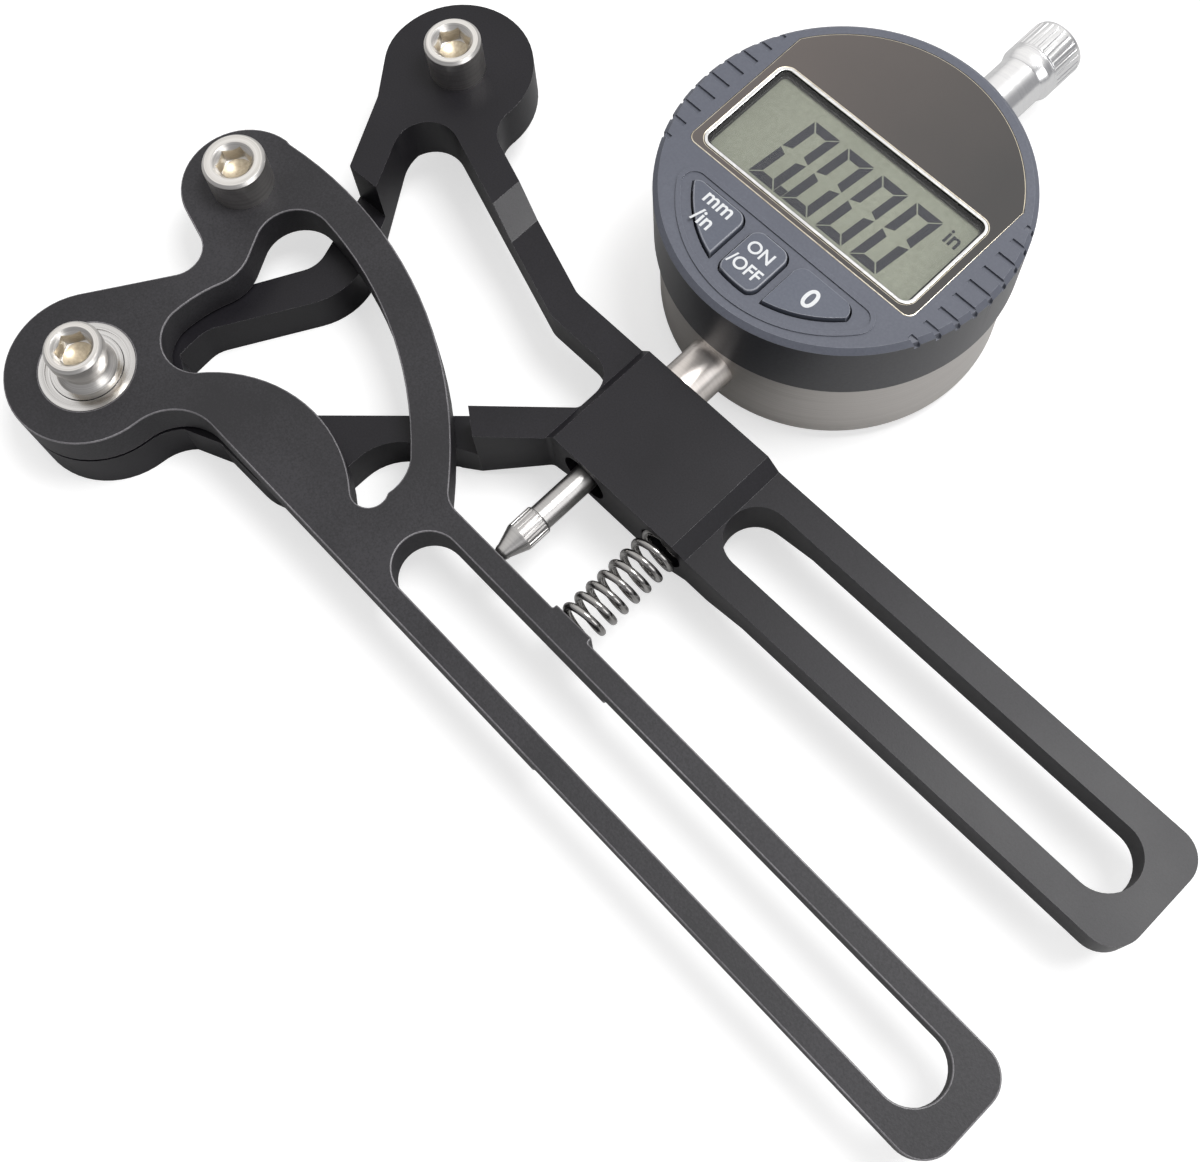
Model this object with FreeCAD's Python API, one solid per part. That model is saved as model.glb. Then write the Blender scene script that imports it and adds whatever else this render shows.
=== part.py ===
import FreeCAD, Part
import math
import os

os.makedirs("parts", exist_ok=True)

# A spoke tension meter, in millimetres. The lever turns about the upright axis at X 0, Y 0.
# Both handles run along +X, the gauge stands along +Y, and Z 0 is the frame's flat underside.

Vector = FreeCAD.Vector
origin = Vector(0, 0, 0)
along_x = Vector(1, 0, 0)
along_y = Vector(0, 1, 0)
along_z = Vector(0, 0, 1)

# Driving sizes of the plan
spindle_reach = 66.0
head_reach = 75.0
handle_reach = 164.3

# Levels, from the underside up
layer_thickness = 7.4
lever_lift = 0.4
lever_thickness = 6.0
pad_rise = 2.0
arm_bottom = layer_thickness + lever_lift
arm_top = arm_bottom + lever_thickness
pad_top = arm_top + pad_rise
pad_bottom = arm_bottom - pad_rise
gauge_axis_height = arm_bottom + lever_thickness / 2

# Fits
running_gap = 0.05
seat_gap = 0.02
overrun = 1.0


def place(x_share, y_share):
    """A point of the plan, as shares of the two driving reaches."""
    return Vector(x_share * spindle_reach, y_share * head_reach, 0)


def on_circle(center, radius, degrees):
    """A point on a circle in the plan, by its angle from +X."""
    angle = math.radians(degrees)
    return center + Vector(radius * math.cos(angle), radius * math.sin(angle), 0)


def rounded_face(corners):
    """A flat face from corners (point, radius), each corner rounded by an arc."""
    ends = []
    edges = []
    for index, (corner, radius) in enumerate(corners):
        back = corners[index - 1][0] - corner
        ahead = corners[(index + 1) % len(corners)][0] - corner
        half_angle = back.getAngle(ahead) / 2
        if radius == 0:
            ends.append((corner, corner))
            continue
        back.normalize()
        ahead.normalize()
        trim = radius / math.tan(half_angle)
        first = corner + back * trim
        last = corner + ahead * trim
        inward = back + ahead
        inward.normalize()
        middle = corner + inward * (radius / math.sin(half_angle) - radius)
        edges.append((index, Part.Arc(first, middle, last).toShape()))
        ends.append((first, last))
    arcs = dict(edges)
    outline = []
    for index in range(len(corners)):
        if index in arcs:
            outline.append(arcs[index])
        leave = ends[index][1]
        arrive = ends[(index + 1) % len(corners)][0]
        if leave.distanceToPoint(arrive) > seat_gap / 10:
            outline.append(Part.LineSegment(leave, arrive).toShape())
    return Part.Face(Part.Wire(Part.__sortEdges__(outline)))


def curved_face(steps):
    """A flat face from a start point and steps: a point for a line, a pair for an arc via the first."""
    start = steps[0]
    here = start
    edges = []
    for step in steps[1:] + [start]:
        if isinstance(step, tuple):
            edges.append(Part.Arc(here, step[0], step[1]).toShape())
            here = step[1]
        elif here.distanceToPoint(step) > seat_gap / 10:
            edges.append(Part.LineSegment(here, step).toShape())
            here = step
    return Part.Face(Part.Wire(Part.__sortEdges__(edges)))


def plate(face, bottom, top):
    """A flat plate of the face between two levels."""
    solid = face.copy()
    solid.translate(Vector(0, 0, bottom))
    return solid.extrude(Vector(0, 0, top - bottom))


def slot_face(start_x, end_x, start_y, end_y, width):
    """A slot with round ends, from its outermost X to its outermost X."""
    radius = width / 2
    slope = Vector(end_x - start_x, end_y - start_y, 0)
    slope.normalize()
    side = Vector(-slope.y, slope.x, 0)
    first = Vector(start_x, start_y, 0) + slope * radius
    last = Vector(end_x, end_y, 0) - slope * radius
    return curved_face([
        first + side * radius,
        (first - slope * radius, first - side * radius),
        last - side * radius,
        (last + slope * radius, last + side * radius),
    ])


def upright(radius, bottom, top, center=origin):
    """A round bar along Z."""
    return Part.makeCylinder(radius, top - bottom, Vector(center.x, center.y, bottom), along_z)


def upright_ring(outer, inner, bottom, top, center=origin):
    """A round tube along Z."""
    return upright(outer, bottom, top, center).cut(upright(inner, bottom - overrun, top + overrun, center))


def throat(boss_radius, throat_radius, edge_start, edge_end):
    """The round hollow between a boss at the origin and a straight edge: its start, middle and end."""
    way = edge_end - edge_start
    way.normalize()
    outward = Vector(-way.y, way.x, 0)
    center_rise = edge_start.dot(outward) - throat_radius
    center_reach = math.sqrt((boss_radius + throat_radius) ** 2 - center_rise ** 2)
    center = way * center_reach + outward * center_rise
    start = center * (boss_radius / (boss_radius + throat_radius))
    end = center + outward * throat_radius
    bisector = start - center + end - center
    bisector.normalize()
    return start, center + bisector * throat_radius, end


def level_bar(radius, start_y, end_y, axis_x=spindle_reach):
    """A round bar along Y at the height of the gauge's axis."""
    return Part.makeCylinder(radius, end_y - start_y, Vector(axis_x, start_y, gauge_axis_height), along_y)


def level_cone(start_radius, end_radius, start_y, end_y):
    """A cone along Y on the spindle's axis."""
    base = Vector(spindle_reach, start_y, gauge_axis_height)
    return Part.makeCone(start_radius, end_radius, end_y - start_y, base, along_y)


def turned(profile, center=origin):
    """A round piece from its half section, as (radius, height) points."""
    points = [Vector(radius, 0, height) for radius, height in profile]
    face = Part.Face(Part.makePolygon(points + points[:1]))
    solid = face.revolve(origin, along_z, 360)
    solid.translate(center)
    return solid


def block(x_min, x_max, y_min, y_max, z_min, z_max):
    """A box between its six faces."""
    return Part.makeBox(x_max - x_min, y_max - y_min, z_max - z_min, Vector(x_min, y_min, z_min))


def hexagon_bar(across_flats, bottom, top, center):
    """A six-sided bar, for a hexagon socket."""
    corner_radius = across_flats / math.sqrt(3)
    corners = [on_circle(center, corner_radius, 60 * turn) for turn in range(6)]
    return plate(Part.Face(Part.makePolygon(corners + corners[:1])), bottom, top)


def fused(shapes):
    """One solid from several that touch or overlap."""
    return shapes[0].fuse(shapes[1:]).removeSplitter()


def save(name, shape):
    """Writes one piece, or a group of separate solids, to its own file."""
    solids = shape.Solids
    piece = solids[0] if len(solids) == 1 else Part.makeCompound(solids)
    piece.exportStep("parts/" + name + ".step")
    print(name, len(solids), "solids", round(piece.Volume, 1), "mm3", piece.isValid())


# Main frame
# One plate of dark anodised aluminium, milled to two levels. The head, the arms, the block and the
# handle lie level with the lever, and the lower layer runs under the lever to the pivot boss.

frame_post_right = 2.1
head_radius = 12.2
head_flank_radius = 10.0
neck_radius = 5.0
wishbone_radius = 5.3
frame_boss_radius = 12.9
frame_throat_radius = 8.2
frame_throat_y = 6.9
handle_width = 19.25
handle_middle_y = 51.0
handle_corner = 4.5
handle_slot_width = 10.1
handle_end_wall = 4.8
handle_ramp_margin = 4.5
handle_ramp_length = 7.0
block_left_margin = 7.6
block_length = 25.8
block_bevel = 2.3
block_left_bevel = 1.6
block_proud = 0.4
block_corner = 4.5
foot_corner_radius = 1.5
arm_inner_rise = 4.25
arm_crook_margin = 14.0
head_ramp_margin = 10.4
head_ramp_length = 6.1
foot_ramp_length = 15.0
foot_ramp_reach = 4.1
layer_bend_radius = 12.0
layer_crook_radius = 5.0
layer_end_radius = 9.0
frame_post_place = Vector(frame_post_right, head_reach, 0)
block_left = spindle_reach - block_left_margin
block_right = block_left + block_length
handle_slot_start = block_right + block_bevel
handle_ramp_start = handle_slot_start + handle_ramp_margin
head_ramp_start = frame_post_right + head_radius + head_ramp_margin
arm_crook_x = block_left - arm_crook_margin
arm_inner_y = handle_middle_y + arm_inner_rise
handle_low = handle_middle_y - handle_width / 2
handle_high = handle_middle_y + handle_width / 2
block_low = handle_low - block_proud
foot_ramp_end = block_left + foot_ramp_reach
frame_throat = throat(
    frame_boss_radius, frame_throat_radius, Vector(0, frame_throat_y, 0),
    Vector(spindle_reach, frame_throat_y, 0))

# Places of the plan as shares of the spindle reach and the head reach
leg_left_share = (0.053, 0.677)
leg_right_share = (0.142, 0.681)
leg_ramp_height_shares = (0.571, 0.831)
wishbone_share = (-0.014, 0.936)
neck_height_share = 0.945
head_flank_height_share = 0.946
leg_bend_share = (-0.046, 0.832)
heel_height_share = 0.634
toe_reach_share = 0.892
foot_left_share = (0.703, 0.483)
foot_right_share = (0.766, 0.444)
leg_top_share = (0.042, 0.767)
upper_bend_share = (0.244, 0.512)
upper_crook_share = (0.064, 0.235)
upper_root_shares = ((0.074, 0.107), (-0.105, 0.120))
upper_inner_share = (0.126, 0.500)
foot_top_shares = ((0.848, 0.520), (0.758, 0.556))
lower_root_share = (0.136, 0.024)
lower_outer_share = (0.576, 0.327)
lower_knee_share = (0.712, 0.420)


def frame_upper_face():
    """The plan of the head, the arms, the block and the handle."""
    head_left = frame_post_place.x - head_radius
    head_right = frame_post_place.x + head_radius
    head_back = head_reach + head_radius
    return rounded_face([
        (place(*leg_left_share), 0),
        (place(*leg_right_share), 0),
        (place(*wishbone_share), wishbone_radius),
        (Vector(arm_crook_x, arm_inner_y, 0), block_corner),
        (Vector(block_left, arm_inner_y, 0), block_corner),
        (Vector(block_left, heel_height_share * head_reach, 0), foot_corner_radius),
        (place(*foot_left_share), 0),
        (place(*foot_right_share), 0),
        (Vector(toe_reach_share * spindle_reach, block_low, 0), foot_corner_radius),
        (Vector(block_right, block_low, 0), 0),
        (Vector(block_right + block_bevel, handle_low, 0), 0),
        (Vector(handle_reach, handle_low, 0), handle_corner),
        (Vector(handle_reach, handle_high, 0), handle_corner),
        (Vector(arm_crook_x, handle_high, 0), block_corner),
        (Vector(head_right, neck_height_share * head_reach, 0), neck_radius),
        (Vector(head_right, head_back, 0), head_radius),
        (Vector(head_left, head_back, 0), head_radius),
        (Vector(head_left, head_flank_height_share * head_reach, 0), head_flank_radius),
        (place(*leg_bend_share), 0),
    ])


def frame_side_profile():
    """What the milling leaves of the frame, seen along Y: pads, ramps and the thinner handle."""
    left = -handle_reach
    right = 2 * handle_reach
    corners = [
        (left, arm_bottom),
        (block_left, arm_bottom),
        (block_left, pad_bottom),
        (handle_ramp_start, pad_bottom),
        (handle_ramp_start + handle_ramp_length, arm_bottom),
        (right, arm_bottom),
        (right, arm_top),
        (block_right + block_bevel, arm_top),
        (block_right, pad_top),
        (block_left + block_left_bevel, pad_top),
        (block_left, arm_top),
        (head_ramp_start + head_ramp_length, arm_top),
        (head_ramp_start, pad_top),
        (left, pad_top),
    ]
    points = [Vector(x, 0, z) for x, z in corners]
    face = Part.Face(Part.makePolygon(points + points[:1]))
    return face.extrude(Vector(0, 2 * head_reach, 0))


def frame_upper_arm_face():
    """The lower layer's arm from the left leg to the boss."""
    return rounded_face([
        (place(*leg_top_share), 0),
        (place(*leg_right_share), 0),
        (place(*upper_bend_share), layer_bend_radius),
        (place(*upper_crook_share), layer_crook_radius),
        (place(*upper_root_shares[0]), 0),
        (place(*upper_root_shares[1]), 0),
        (place(*upper_inner_share), layer_crook_radius),
        (place(*leg_left_share), 0),
    ])


def frame_lower_arm_face():
    """The lower layer's arm from the foot by the block to the boss."""
    outer = place(*lower_outer_share)
    return rounded_face([
        (place(*foot_top_shares[1]), 0),
        (place(*lower_root_share), 0),
        (frame_throat[2], 0),
        (Vector(outer.x, frame_throat_y, 0), layer_end_radius),
        (outer, layer_end_radius),
        (place(*lower_knee_share), 0),
        (place(*foot_right_share), 0),
        (place(*foot_top_shares[0]), 0),
    ])


def frame_throat_face():
    """The hollow corner between the boss and the lower arm."""
    start, middle, end = frame_throat
    inside = end + Vector(0, frame_throat_radius / 2, 0)
    return curved_face([place(*lower_root_share), start, (middle, end), inside])


def wedge(corners, way):
    """A prism of a three-cornered or longer section, from its corners along a level way."""
    return Part.Face(Part.makePolygon(corners + corners[:1])).extrude(way)


def frame_leg():
    """The left leg at its full height, and the wedge cut from its underside towards the head."""
    left = -head_reach
    width = place(*upper_bend_share).x - left
    start_y, end_y = [share * head_reach for share in leg_ramp_height_shares]
    room = block(left, left + width, 0, end_y, 0, pad_top)
    relief = wedge([
        Vector(left, start_y, 0),
        Vector(left, end_y, arm_bottom),
        Vector(left, end_y, -overrun),
        Vector(left, start_y, -overrun),
    ], along_x * width)
    return plate(frame_upper_face(), 0, pad_top).common(room), relief


def frame_foot():
    """The foot by the block at its full height, and the wedge cut from its underside towards the block."""
    heel_y = heel_height_share * head_reach
    start_x = foot_ramp_end - foot_ramp_length
    room = block(0, foot_ramp_end, 0, heel_y, 0, arm_top)
    relief = wedge([
        Vector(start_x, 0, 0),
        Vector(foot_ramp_end, 0, pad_bottom),
        Vector(foot_ramp_end, 0, -overrun),
        Vector(start_x, 0, -overrun),
    ], along_y * heel_y)
    return plate(frame_upper_face(), 0, arm_top).common(room), relief


def frame_handle_slot():
    """The long slot of the frame's handle."""
    slot_end = handle_reach - handle_end_wall
    face = slot_face(handle_slot_start, slot_end, handle_middle_y, handle_middle_y, handle_slot_width)
    return plate(face, -overrun, pad_top + overrun)


def make_main_frame():
    """The frame with its bores, pocket and threads."""
    upper = plate(frame_upper_face(), pad_bottom, pad_top).common(frame_side_profile())
    leg, leg_relief = frame_leg()
    foot, foot_relief = frame_foot()
    boss = upright(frame_boss_radius, 0, layer_thickness)
    arms = [plate(face, 0, layer_thickness) for face in (
        frame_upper_arm_face(), frame_lower_arm_face(), frame_throat_face())]
    body = fused([upper, leg, foot, boss] + arms)
    stem_bore = level_bar(stem_radius + seat_gap, block_low - overrun, handle_high + overrun)
    spring_pocket = level_bar(pocket_radius, block_low - overrun, pocket_floor, spring_reach)
    clamp_start = Vector(block_left - overrun, clamp_y, gauge_axis_height)
    clamp_hole = Part.makeCylinder(clamp_radius, spindle_reach - clamp_start.x, clamp_start, along_x)
    cuts = [
        leg_relief,
        foot_relief,
        frame_handle_slot(),
        stem_bore,
        spring_pocket,
        clamp_hole,
        upright(post_thread_radius, -overrun, pad_top + overrun, frame_post_place),
        upright(pivot_thread_radius, pivot_thread_floor, layer_thickness + overrun),
    ]
    return body.cut(cuts)


# Lever
# One plate of the same aluminium: the boss round the bearing, the lobe that carries the lever post, the
# bow that the spindle's side of the tool bends round, and the second handle.

lever_boss_radius = 12.9
lever_throat_radius = 8.2
lever_post_left = 7.8
lever_post_reach = 37.6
lobe_radius = 10.0
bow_radius = 70.0
bow_width = 6.0
lever_handle_width = 17.2
lever_handle_start_y = 16.2
lever_handle_end_y = 13.15
lever_handle_reach = 164.7
lever_handle_corner = 4.7
lever_slot_width = 10.2
lever_slot_margin = 1.8
lever_end_wall = 5.0
lever_relief_start = 92.0
lever_relief = 2.0
seat_width = 7.2
seat_height = 0.8
lever_post_place = Vector(-lever_post_left, lever_post_reach, 0)

boss_tangent_degrees = 148.7
lobe_start_degrees = 256.9
lobe_side_degrees = 180.0
lobe_end_degrees = 96.0
bow_start_degrees = 98.5
bow_middle_degrees = 70.0
bow_end_degrees = 42.4
bow_inner_start_degrees = 86.0
bow_inner_middle_degrees = 65.0
bow_inner_end_degrees = 46.2
hump_start_degrees = 141.2
hump_middle_degrees = 95.0
hump_end_degrees = 52.5

# Places of the lever's plan as shares of the bow's radius
bow_center_share = (0.0343, -0.3114)
bow_foot_reach_share = 0.82
hump_center_share = (0.4343, -0.0457)
hump_radius_share = 0.3243
neck_start_share = (-0.0368, 0.2818)
neck_arc_shares = ((-0.0330, 0.3429), (-0.0783, 0.3804))
bow_foot_share = (0.7911, 0.3471)
opening_heel_shares = ((0.0924, 0.1404), (0.0339, 0.2143))
opening_shin_share = (0.0380, 0.2780)
opening_waist_share = (0.0556, 0.3429)
opening_waist_arc_shares = ((0.0590, 0.3720), (0.0470, 0.4194))
opening_crown_share = (0.0200, 0.4670)
opening_crown_via_share = (0.0076, 0.5300)
opening_end_shares = ((0.6864, 0.3139), (0.6902, 0.2646))
opening_end_via_share = (0.6704, 0.2046)


def lever_place(x_share, y_share):
    """A point of the lever's plan, as shares of the bow's radius."""
    return Vector(x_share * bow_radius, y_share * bow_radius, 0)


bow_center = lever_place(*bow_center_share)
bow_foot_x = bow_foot_reach_share * bow_radius
lever_slot_start = bow_foot_x - lever_slot_margin
hump_center = lever_place(*hump_center_share)
hump_radius = hump_radius_share * bow_radius


def lever_handle_point(x, side):
    """A point of the lever's handle: side -1 is the lower edge, 0 the middle and 1 the upper edge."""
    fall = (lever_handle_end_y - lever_handle_start_y) * x / lever_handle_reach
    return Vector(x, lever_handle_start_y + fall + side * lever_handle_width / 2, 0)


lever_throat = throat(
    lever_boss_radius, lever_throat_radius, lever_handle_point(0, -1),
    lever_handle_point(lever_handle_reach, -1))
lever_root_x = lever_throat[2].x


def lever_body_face():
    """The neck, the lobe and the bow, filled in."""
    return curved_face([
        on_circle(origin, lever_boss_radius, boss_tangent_degrees),
        lever_place(*neck_start_share),
        (lever_place(*neck_arc_shares[0]), lever_place(*neck_arc_shares[1])),
        on_circle(lever_post_place, lobe_radius, lobe_start_degrees),
        (on_circle(lever_post_place, lobe_radius, lobe_side_degrees),
         on_circle(lever_post_place, lobe_radius, lobe_end_degrees)),
        on_circle(bow_center, bow_radius, bow_start_degrees),
        (on_circle(bow_center, bow_radius, bow_middle_degrees),
         on_circle(bow_center, bow_radius, bow_end_degrees)),
        (lever_place(*bow_foot_share), lever_handle_point(bow_foot_x, 1)),
        lever_handle_point(bow_foot_x, 0),
        lever_handle_point(lever_root_x, 0),
        origin,
    ])


def lever_handle_face():
    """The handle and its square end with round corners."""
    return rounded_face([
        (lever_throat[2], 0),
        (lever_handle_point(lever_handle_reach, -1), lever_handle_corner),
        (lever_handle_point(lever_handle_reach, 1), lever_handle_corner),
        (lever_handle_point(lever_root_x, 1), 0),
    ])


def lever_throat_face():
    """The hollow corner between the boss and the handle's lower edge."""
    start, middle, end = lever_throat
    return curved_face([origin, start, (middle, end), lever_handle_point(lever_root_x, 0)])


def lever_opening_face():
    """The large opening between the neck, the bow and the hump."""
    bow_inner = bow_radius - bow_width
    return curved_face([
        on_circle(hump_center, hump_radius, hump_start_degrees),
        (lever_place(*opening_heel_shares[0]), lever_place(*opening_heel_shares[1])),
        (lever_place(*opening_shin_share), lever_place(*opening_waist_share)),
        (lever_place(*opening_waist_arc_shares[0]), lever_place(*opening_waist_arc_shares[1])),
        lever_place(*opening_crown_share),
        (lever_place(*opening_crown_via_share), on_circle(bow_center, bow_inner, bow_inner_start_degrees)),
        (on_circle(bow_center, bow_inner, bow_inner_middle_degrees),
         on_circle(bow_center, bow_inner, bow_inner_end_degrees)),
        (lever_place(*opening_end_shares[0]), lever_place(*opening_end_shares[1])),
        (lever_place(*opening_end_via_share), on_circle(hump_center, hump_radius, hump_end_degrees)),
        (on_circle(hump_center, hump_radius, hump_middle_degrees),
         on_circle(hump_center, hump_radius, hump_start_degrees)),
    ])


def make_lever_arm():
    """The lever with its bearing seat, post thread, opening, slot and spring seat."""
    boss = upright(lever_boss_radius, arm_bottom, arm_top)
    plates = [plate(face, arm_bottom, arm_top) for face in (
        lever_body_face(), lever_handle_face(), lever_throat_face())]
    seat = block(
        spring_reach - seat_width / 2, spring_reach + seat_width / 2,
        lever_handle_point(spring_reach, 0).y, spring_seat_y, arm_bottom, arm_top)
    body = fused([boss, seat] + plates)
    slot_end = lever_handle_reach - lever_end_wall
    slot = slot_face(
        lever_slot_start, slot_end, lever_handle_point(lever_slot_start, 0).y,
        lever_handle_point(slot_end, 0).y, lever_slot_width)
    relief = block(
        lever_relief_start, lever_handle_reach + overrun, 0, lever_handle_point(0, 1).y + overrun,
        arm_bottom - overrun, arm_bottom + lever_relief)
    cuts = [
        plate(lever_opening_face(), arm_bottom - overrun, arm_top + overrun),
        plate(slot, arm_bottom - overrun, arm_top + overrun),
        relief,
        upright(bearing_outer, bearing_bottom, arm_top + overrun),
        upright(bearing_land, arm_bottom - overrun, arm_top),
        upright(post_thread_radius, arm_bottom - overrun, arm_top + overrun, lever_post_place),
    ]
    return body.cut(cuts)


# Posts
# Three stainless screws. The spoke lies against them: two on one side, the lever's own on the other.

socket_flats = 5.0
socket_depth = 3.2
socket_cone_depth = 1.2
post_thread_radius = 3.0
post_thread_margin = 0.5
post_chamfer = 0.45
frame_post_radius = 4.5
frame_post_height = 6.5
lever_post_radius = 5.0
lever_post_height = 6.0
pivot_thread_radius = 3.0
pivot_thread_floor = 1.0
pivot_head_radius = 4.5
pivot_head_thickness = 2.1
pivot_post_height = 6.35
pivot_neck_radius = 3.7
pivot_flare_radius = 4.75
pivot_flare_height = 1.2


def hexagon_socket(top, center):
    """The recess of a socket screw, with the drill's cone at its bottom."""
    floor = top - socket_depth
    cone_radius = socket_flats / 2
    cone_foot = Vector(center.x, center.y, floor - socket_cone_depth)
    cone = Part.makeCone(0, cone_radius, socket_cone_depth, cone_foot)
    mouth_radius = socket_flats / math.sqrt(3) + post_chamfer
    mouth_depth = mouth_radius - cone_radius
    mouth_foot = Vector(center.x, center.y, top - mouth_depth)
    mouth = Part.makeCone(cone_radius, mouth_radius, mouth_depth, mouth_foot)
    return [hexagon_bar(socket_flats, floor, top + overrun, center), cone, mouth]


def make_post(radius, height, base, thread_bottom, center):
    """A plain socket screw whose head is a straight round post."""
    top = base + height
    head = turned([
        (0, base),
        (radius, base),
        (radius, top - post_chamfer),
        (radius - post_chamfer, top),
        (0, top),
    ], center)
    thread = upright(post_thread_radius, thread_bottom, base, center)
    return fused([head, thread]).cut(hexagon_socket(top, center))


def make_pivot_post():
    """The pivot screw: head, neck, flare, bearing journal and thread."""
    top = arm_top + pivot_post_height
    head_bottom = top - pivot_head_thickness
    body = turned([
        (0, pivot_thread_floor + seat_gap),
        (pivot_thread_radius, pivot_thread_floor + seat_gap),
        (pivot_thread_radius, layer_thickness),
        (bearing_bore - seat_gap, layer_thickness),
        (bearing_bore - seat_gap, arm_top),
        (pivot_flare_radius, arm_top),
        (pivot_neck_radius, arm_top + pivot_flare_height),
        (pivot_neck_radius, head_bottom),
        (pivot_head_radius, head_bottom),
        (pivot_head_radius, top - post_chamfer),
        (pivot_head_radius - post_chamfer, top),
        (0, top),
    ])
    return body.cut(hexagon_socket(top, origin))


# Pivot bearing
# A thin ball bearing pressed into the lever. A spacer on the frame's boss carries its inner ring.

bearing_outer = 7.5
bearing_bore = 4.0
bearing_width = 4.0
inner_ring_radius = 5.65
outer_ring_radius = 6.15
bearing_land = 6.5
ball_radius = 0.8
ball_count = 12
shield_thickness = 0.25
shield_inset = 0.2
shield_overlap = 0.35
spacer_radius = 5.5
bearing_bottom = arm_top - bearing_width
bearing_middle = arm_top - bearing_width / 2
ball_circle = (inner_ring_radius + outer_ring_radius) / 2


def ball_groove():
    """The round groove that the balls roll in."""
    return Part.makeTorus(ball_circle, ball_radius + seat_gap, Vector(0, 0, bearing_middle), along_z)


def make_bearing_inner_ring():
    """The ring that stays still on the pivot post."""
    return upright_ring(inner_ring_radius, bearing_bore, bearing_bottom, arm_top).cut(ball_groove())


def make_bearing_outer_ring():
    """The ring that turns with the lever, with a shield seat in its upper face."""
    ring = upright_ring(bearing_outer - seat_gap, outer_ring_radius, bearing_bottom, arm_top)
    seat_bottom = arm_top - shield_inset - shield_thickness
    seat = upright(outer_ring_radius + shield_overlap, seat_bottom, arm_top + overrun)
    return ring.cut([ball_groove(), seat])


def make_bearing_balls():
    """The balls, evenly round the groove."""
    balls = []
    for index in range(ball_count):
        center = on_circle(Vector(0, 0, bearing_middle), ball_circle, 360 * index / ball_count)
        balls.append(Part.makeSphere(ball_radius, center))
    return Part.makeCompound(balls)


def make_bearing_shield():
    """The thin ring that covers the balls from above."""
    top = arm_top - shield_inset
    shield_bore = inner_ring_radius + running_gap * 2
    return upright_ring(outer_ring_radius + shield_overlap, shield_bore, top - shield_thickness, top)


def make_pivot_spacer():
    """The ring between the frame's boss and the bearing's inner ring."""
    return upright_ring(spacer_radius, bearing_bore, layer_thickness, bearing_bottom)


# Return spring
# An open coil of bright steel wire between the block's pocket and the seat on the lever's handle.

spring_offset = 15.8
spring_wire_radius = 0.48
spring_coil_radius = 2.95
spring_turns = 11
pocket_radius = 3.75
pocket_depth = 8.0
spring_end_gap = 0.15
spring_reach = spindle_reach + spring_offset
pocket_floor = block_low + pocket_depth
spring_seat_y = lever_handle_point(spring_reach, 1).y + seat_height


def biarc(start, start_way, end, end_way):
    """Two tangent arcs between two points with given directions there."""
    chord = end - start
    ways = start_way + end_way
    square = 2 * (1 - start_way.dot(end_way))
    pull = chord.dot(ways)
    reach = (-pull + math.sqrt(pull * pull + square * chord.dot(chord))) / square
    first = start + start_way * reach
    last = end - end_way * reach
    joint = (first + last) / 2
    return [tangent_arc(start, first, joint), tangent_arc(joint, last, end)]


def tangent_arc(start, corner, end):
    """The arc that leaves start and reaches end along the two sides of the corner."""
    middle = (start + end) / 2
    side = corner.distanceToPoint(start)
    half_turn = math.asin(corner.distanceToPoint(middle) / side)
    rise = side * math.cos(half_turn) * math.tan(half_turn / 2)
    way = corner - middle
    way.normalize()
    return Part.Arc(start, middle + way * rise, end).toShape()


def helix_point(turn, start_y, pitch):
    """A point of the spring's middle line after some turns."""
    angle = 2 * math.pi * turn
    return Vector(
        spring_reach + spring_coil_radius * math.cos(angle),
        start_y + pitch * turn,
        gauge_axis_height + spring_coil_radius * math.sin(angle))


def helix_way(turn, pitch):
    """The direction of the spring's middle line after some turns."""
    angle = 2 * math.pi * turn
    around = 2 * math.pi * spring_coil_radius
    way = Vector(-around * math.sin(angle), pitch, around * math.cos(angle))
    way.normalize()
    return way


def least_coil_gap(start_y, pitch):
    """The least gap between two turns of the wire, measured on points of its middle line."""
    points_per_turn = 48
    points = [helix_point(index / points_per_turn, start_y, pitch)
              for index in range(spring_turns * points_per_turn + 1)]
    nearest = min(
        first.distanceToPoint(second)
        for index, first in enumerate(points)
        for second in points[index + points_per_turn // 2:index + 2 * points_per_turn])
    return nearest - 2 * spring_wire_radius


def make_return_spring():
    """The wire swept along the coil, with a straight end of one wire diameter at both ends."""
    start_y = spring_seat_y + spring_wire_radius + spring_end_gap
    end_y = pocket_floor - spring_wire_radius - spring_end_gap
    pitch = (end_y - start_y) / spring_turns
    tail = 2 * spring_wire_radius
    steps = spring_turns * 4
    stations = [index / 4 for index in range(steps + 1)]
    points = [helix_point(turn, start_y, pitch) for turn in stations]
    ways = [helix_way(turn, pitch) for turn in stations]
    edges = [Part.LineSegment(points[0] - ways[0] * tail, points[0]).toShape()]
    for index in range(steps):
        edges += biarc(points[index], ways[index], points[index + 1], ways[index + 1])
    edges.append(Part.LineSegment(points[-1], points[-1] + ways[-1] * tail).toShape())
    path = Part.Wire(edges)
    ring = Part.Wire(Part.makeCircle(spring_wire_radius, points[0] - ways[0] * tail, ways[0]))
    print("return_spring least gap to itself", round(least_coil_gap(start_y, pitch), 2), "mm")
    return path.makePipeShell([ring], True, False)


# Gauge stem, clamp screw and bushes
# The steel stem sits in the block's bore. A grub screw from the block's left side holds it.

stem_radius = 4.0
stem_bore_radius = 3.0
stem_recess = 3.025
stem_shown = 7.025
stem_entry = 3.0
clamp_radius = 2.0
clamp_offset = 0.8
clamp_socket_flats = 2.0
clamp_socket_depth = 1.6
lower_bush_length = 8.0
upper_bush_length = 5.0
case_radius = 26.75
case_wall = 1.6
gauge_reach = handle_high + stem_shown + case_radius
stem_start = block_low + stem_recess
stem_end = gauge_reach - case_radius + stem_entry
clamp_y = handle_middle_y + clamp_offset


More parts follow.
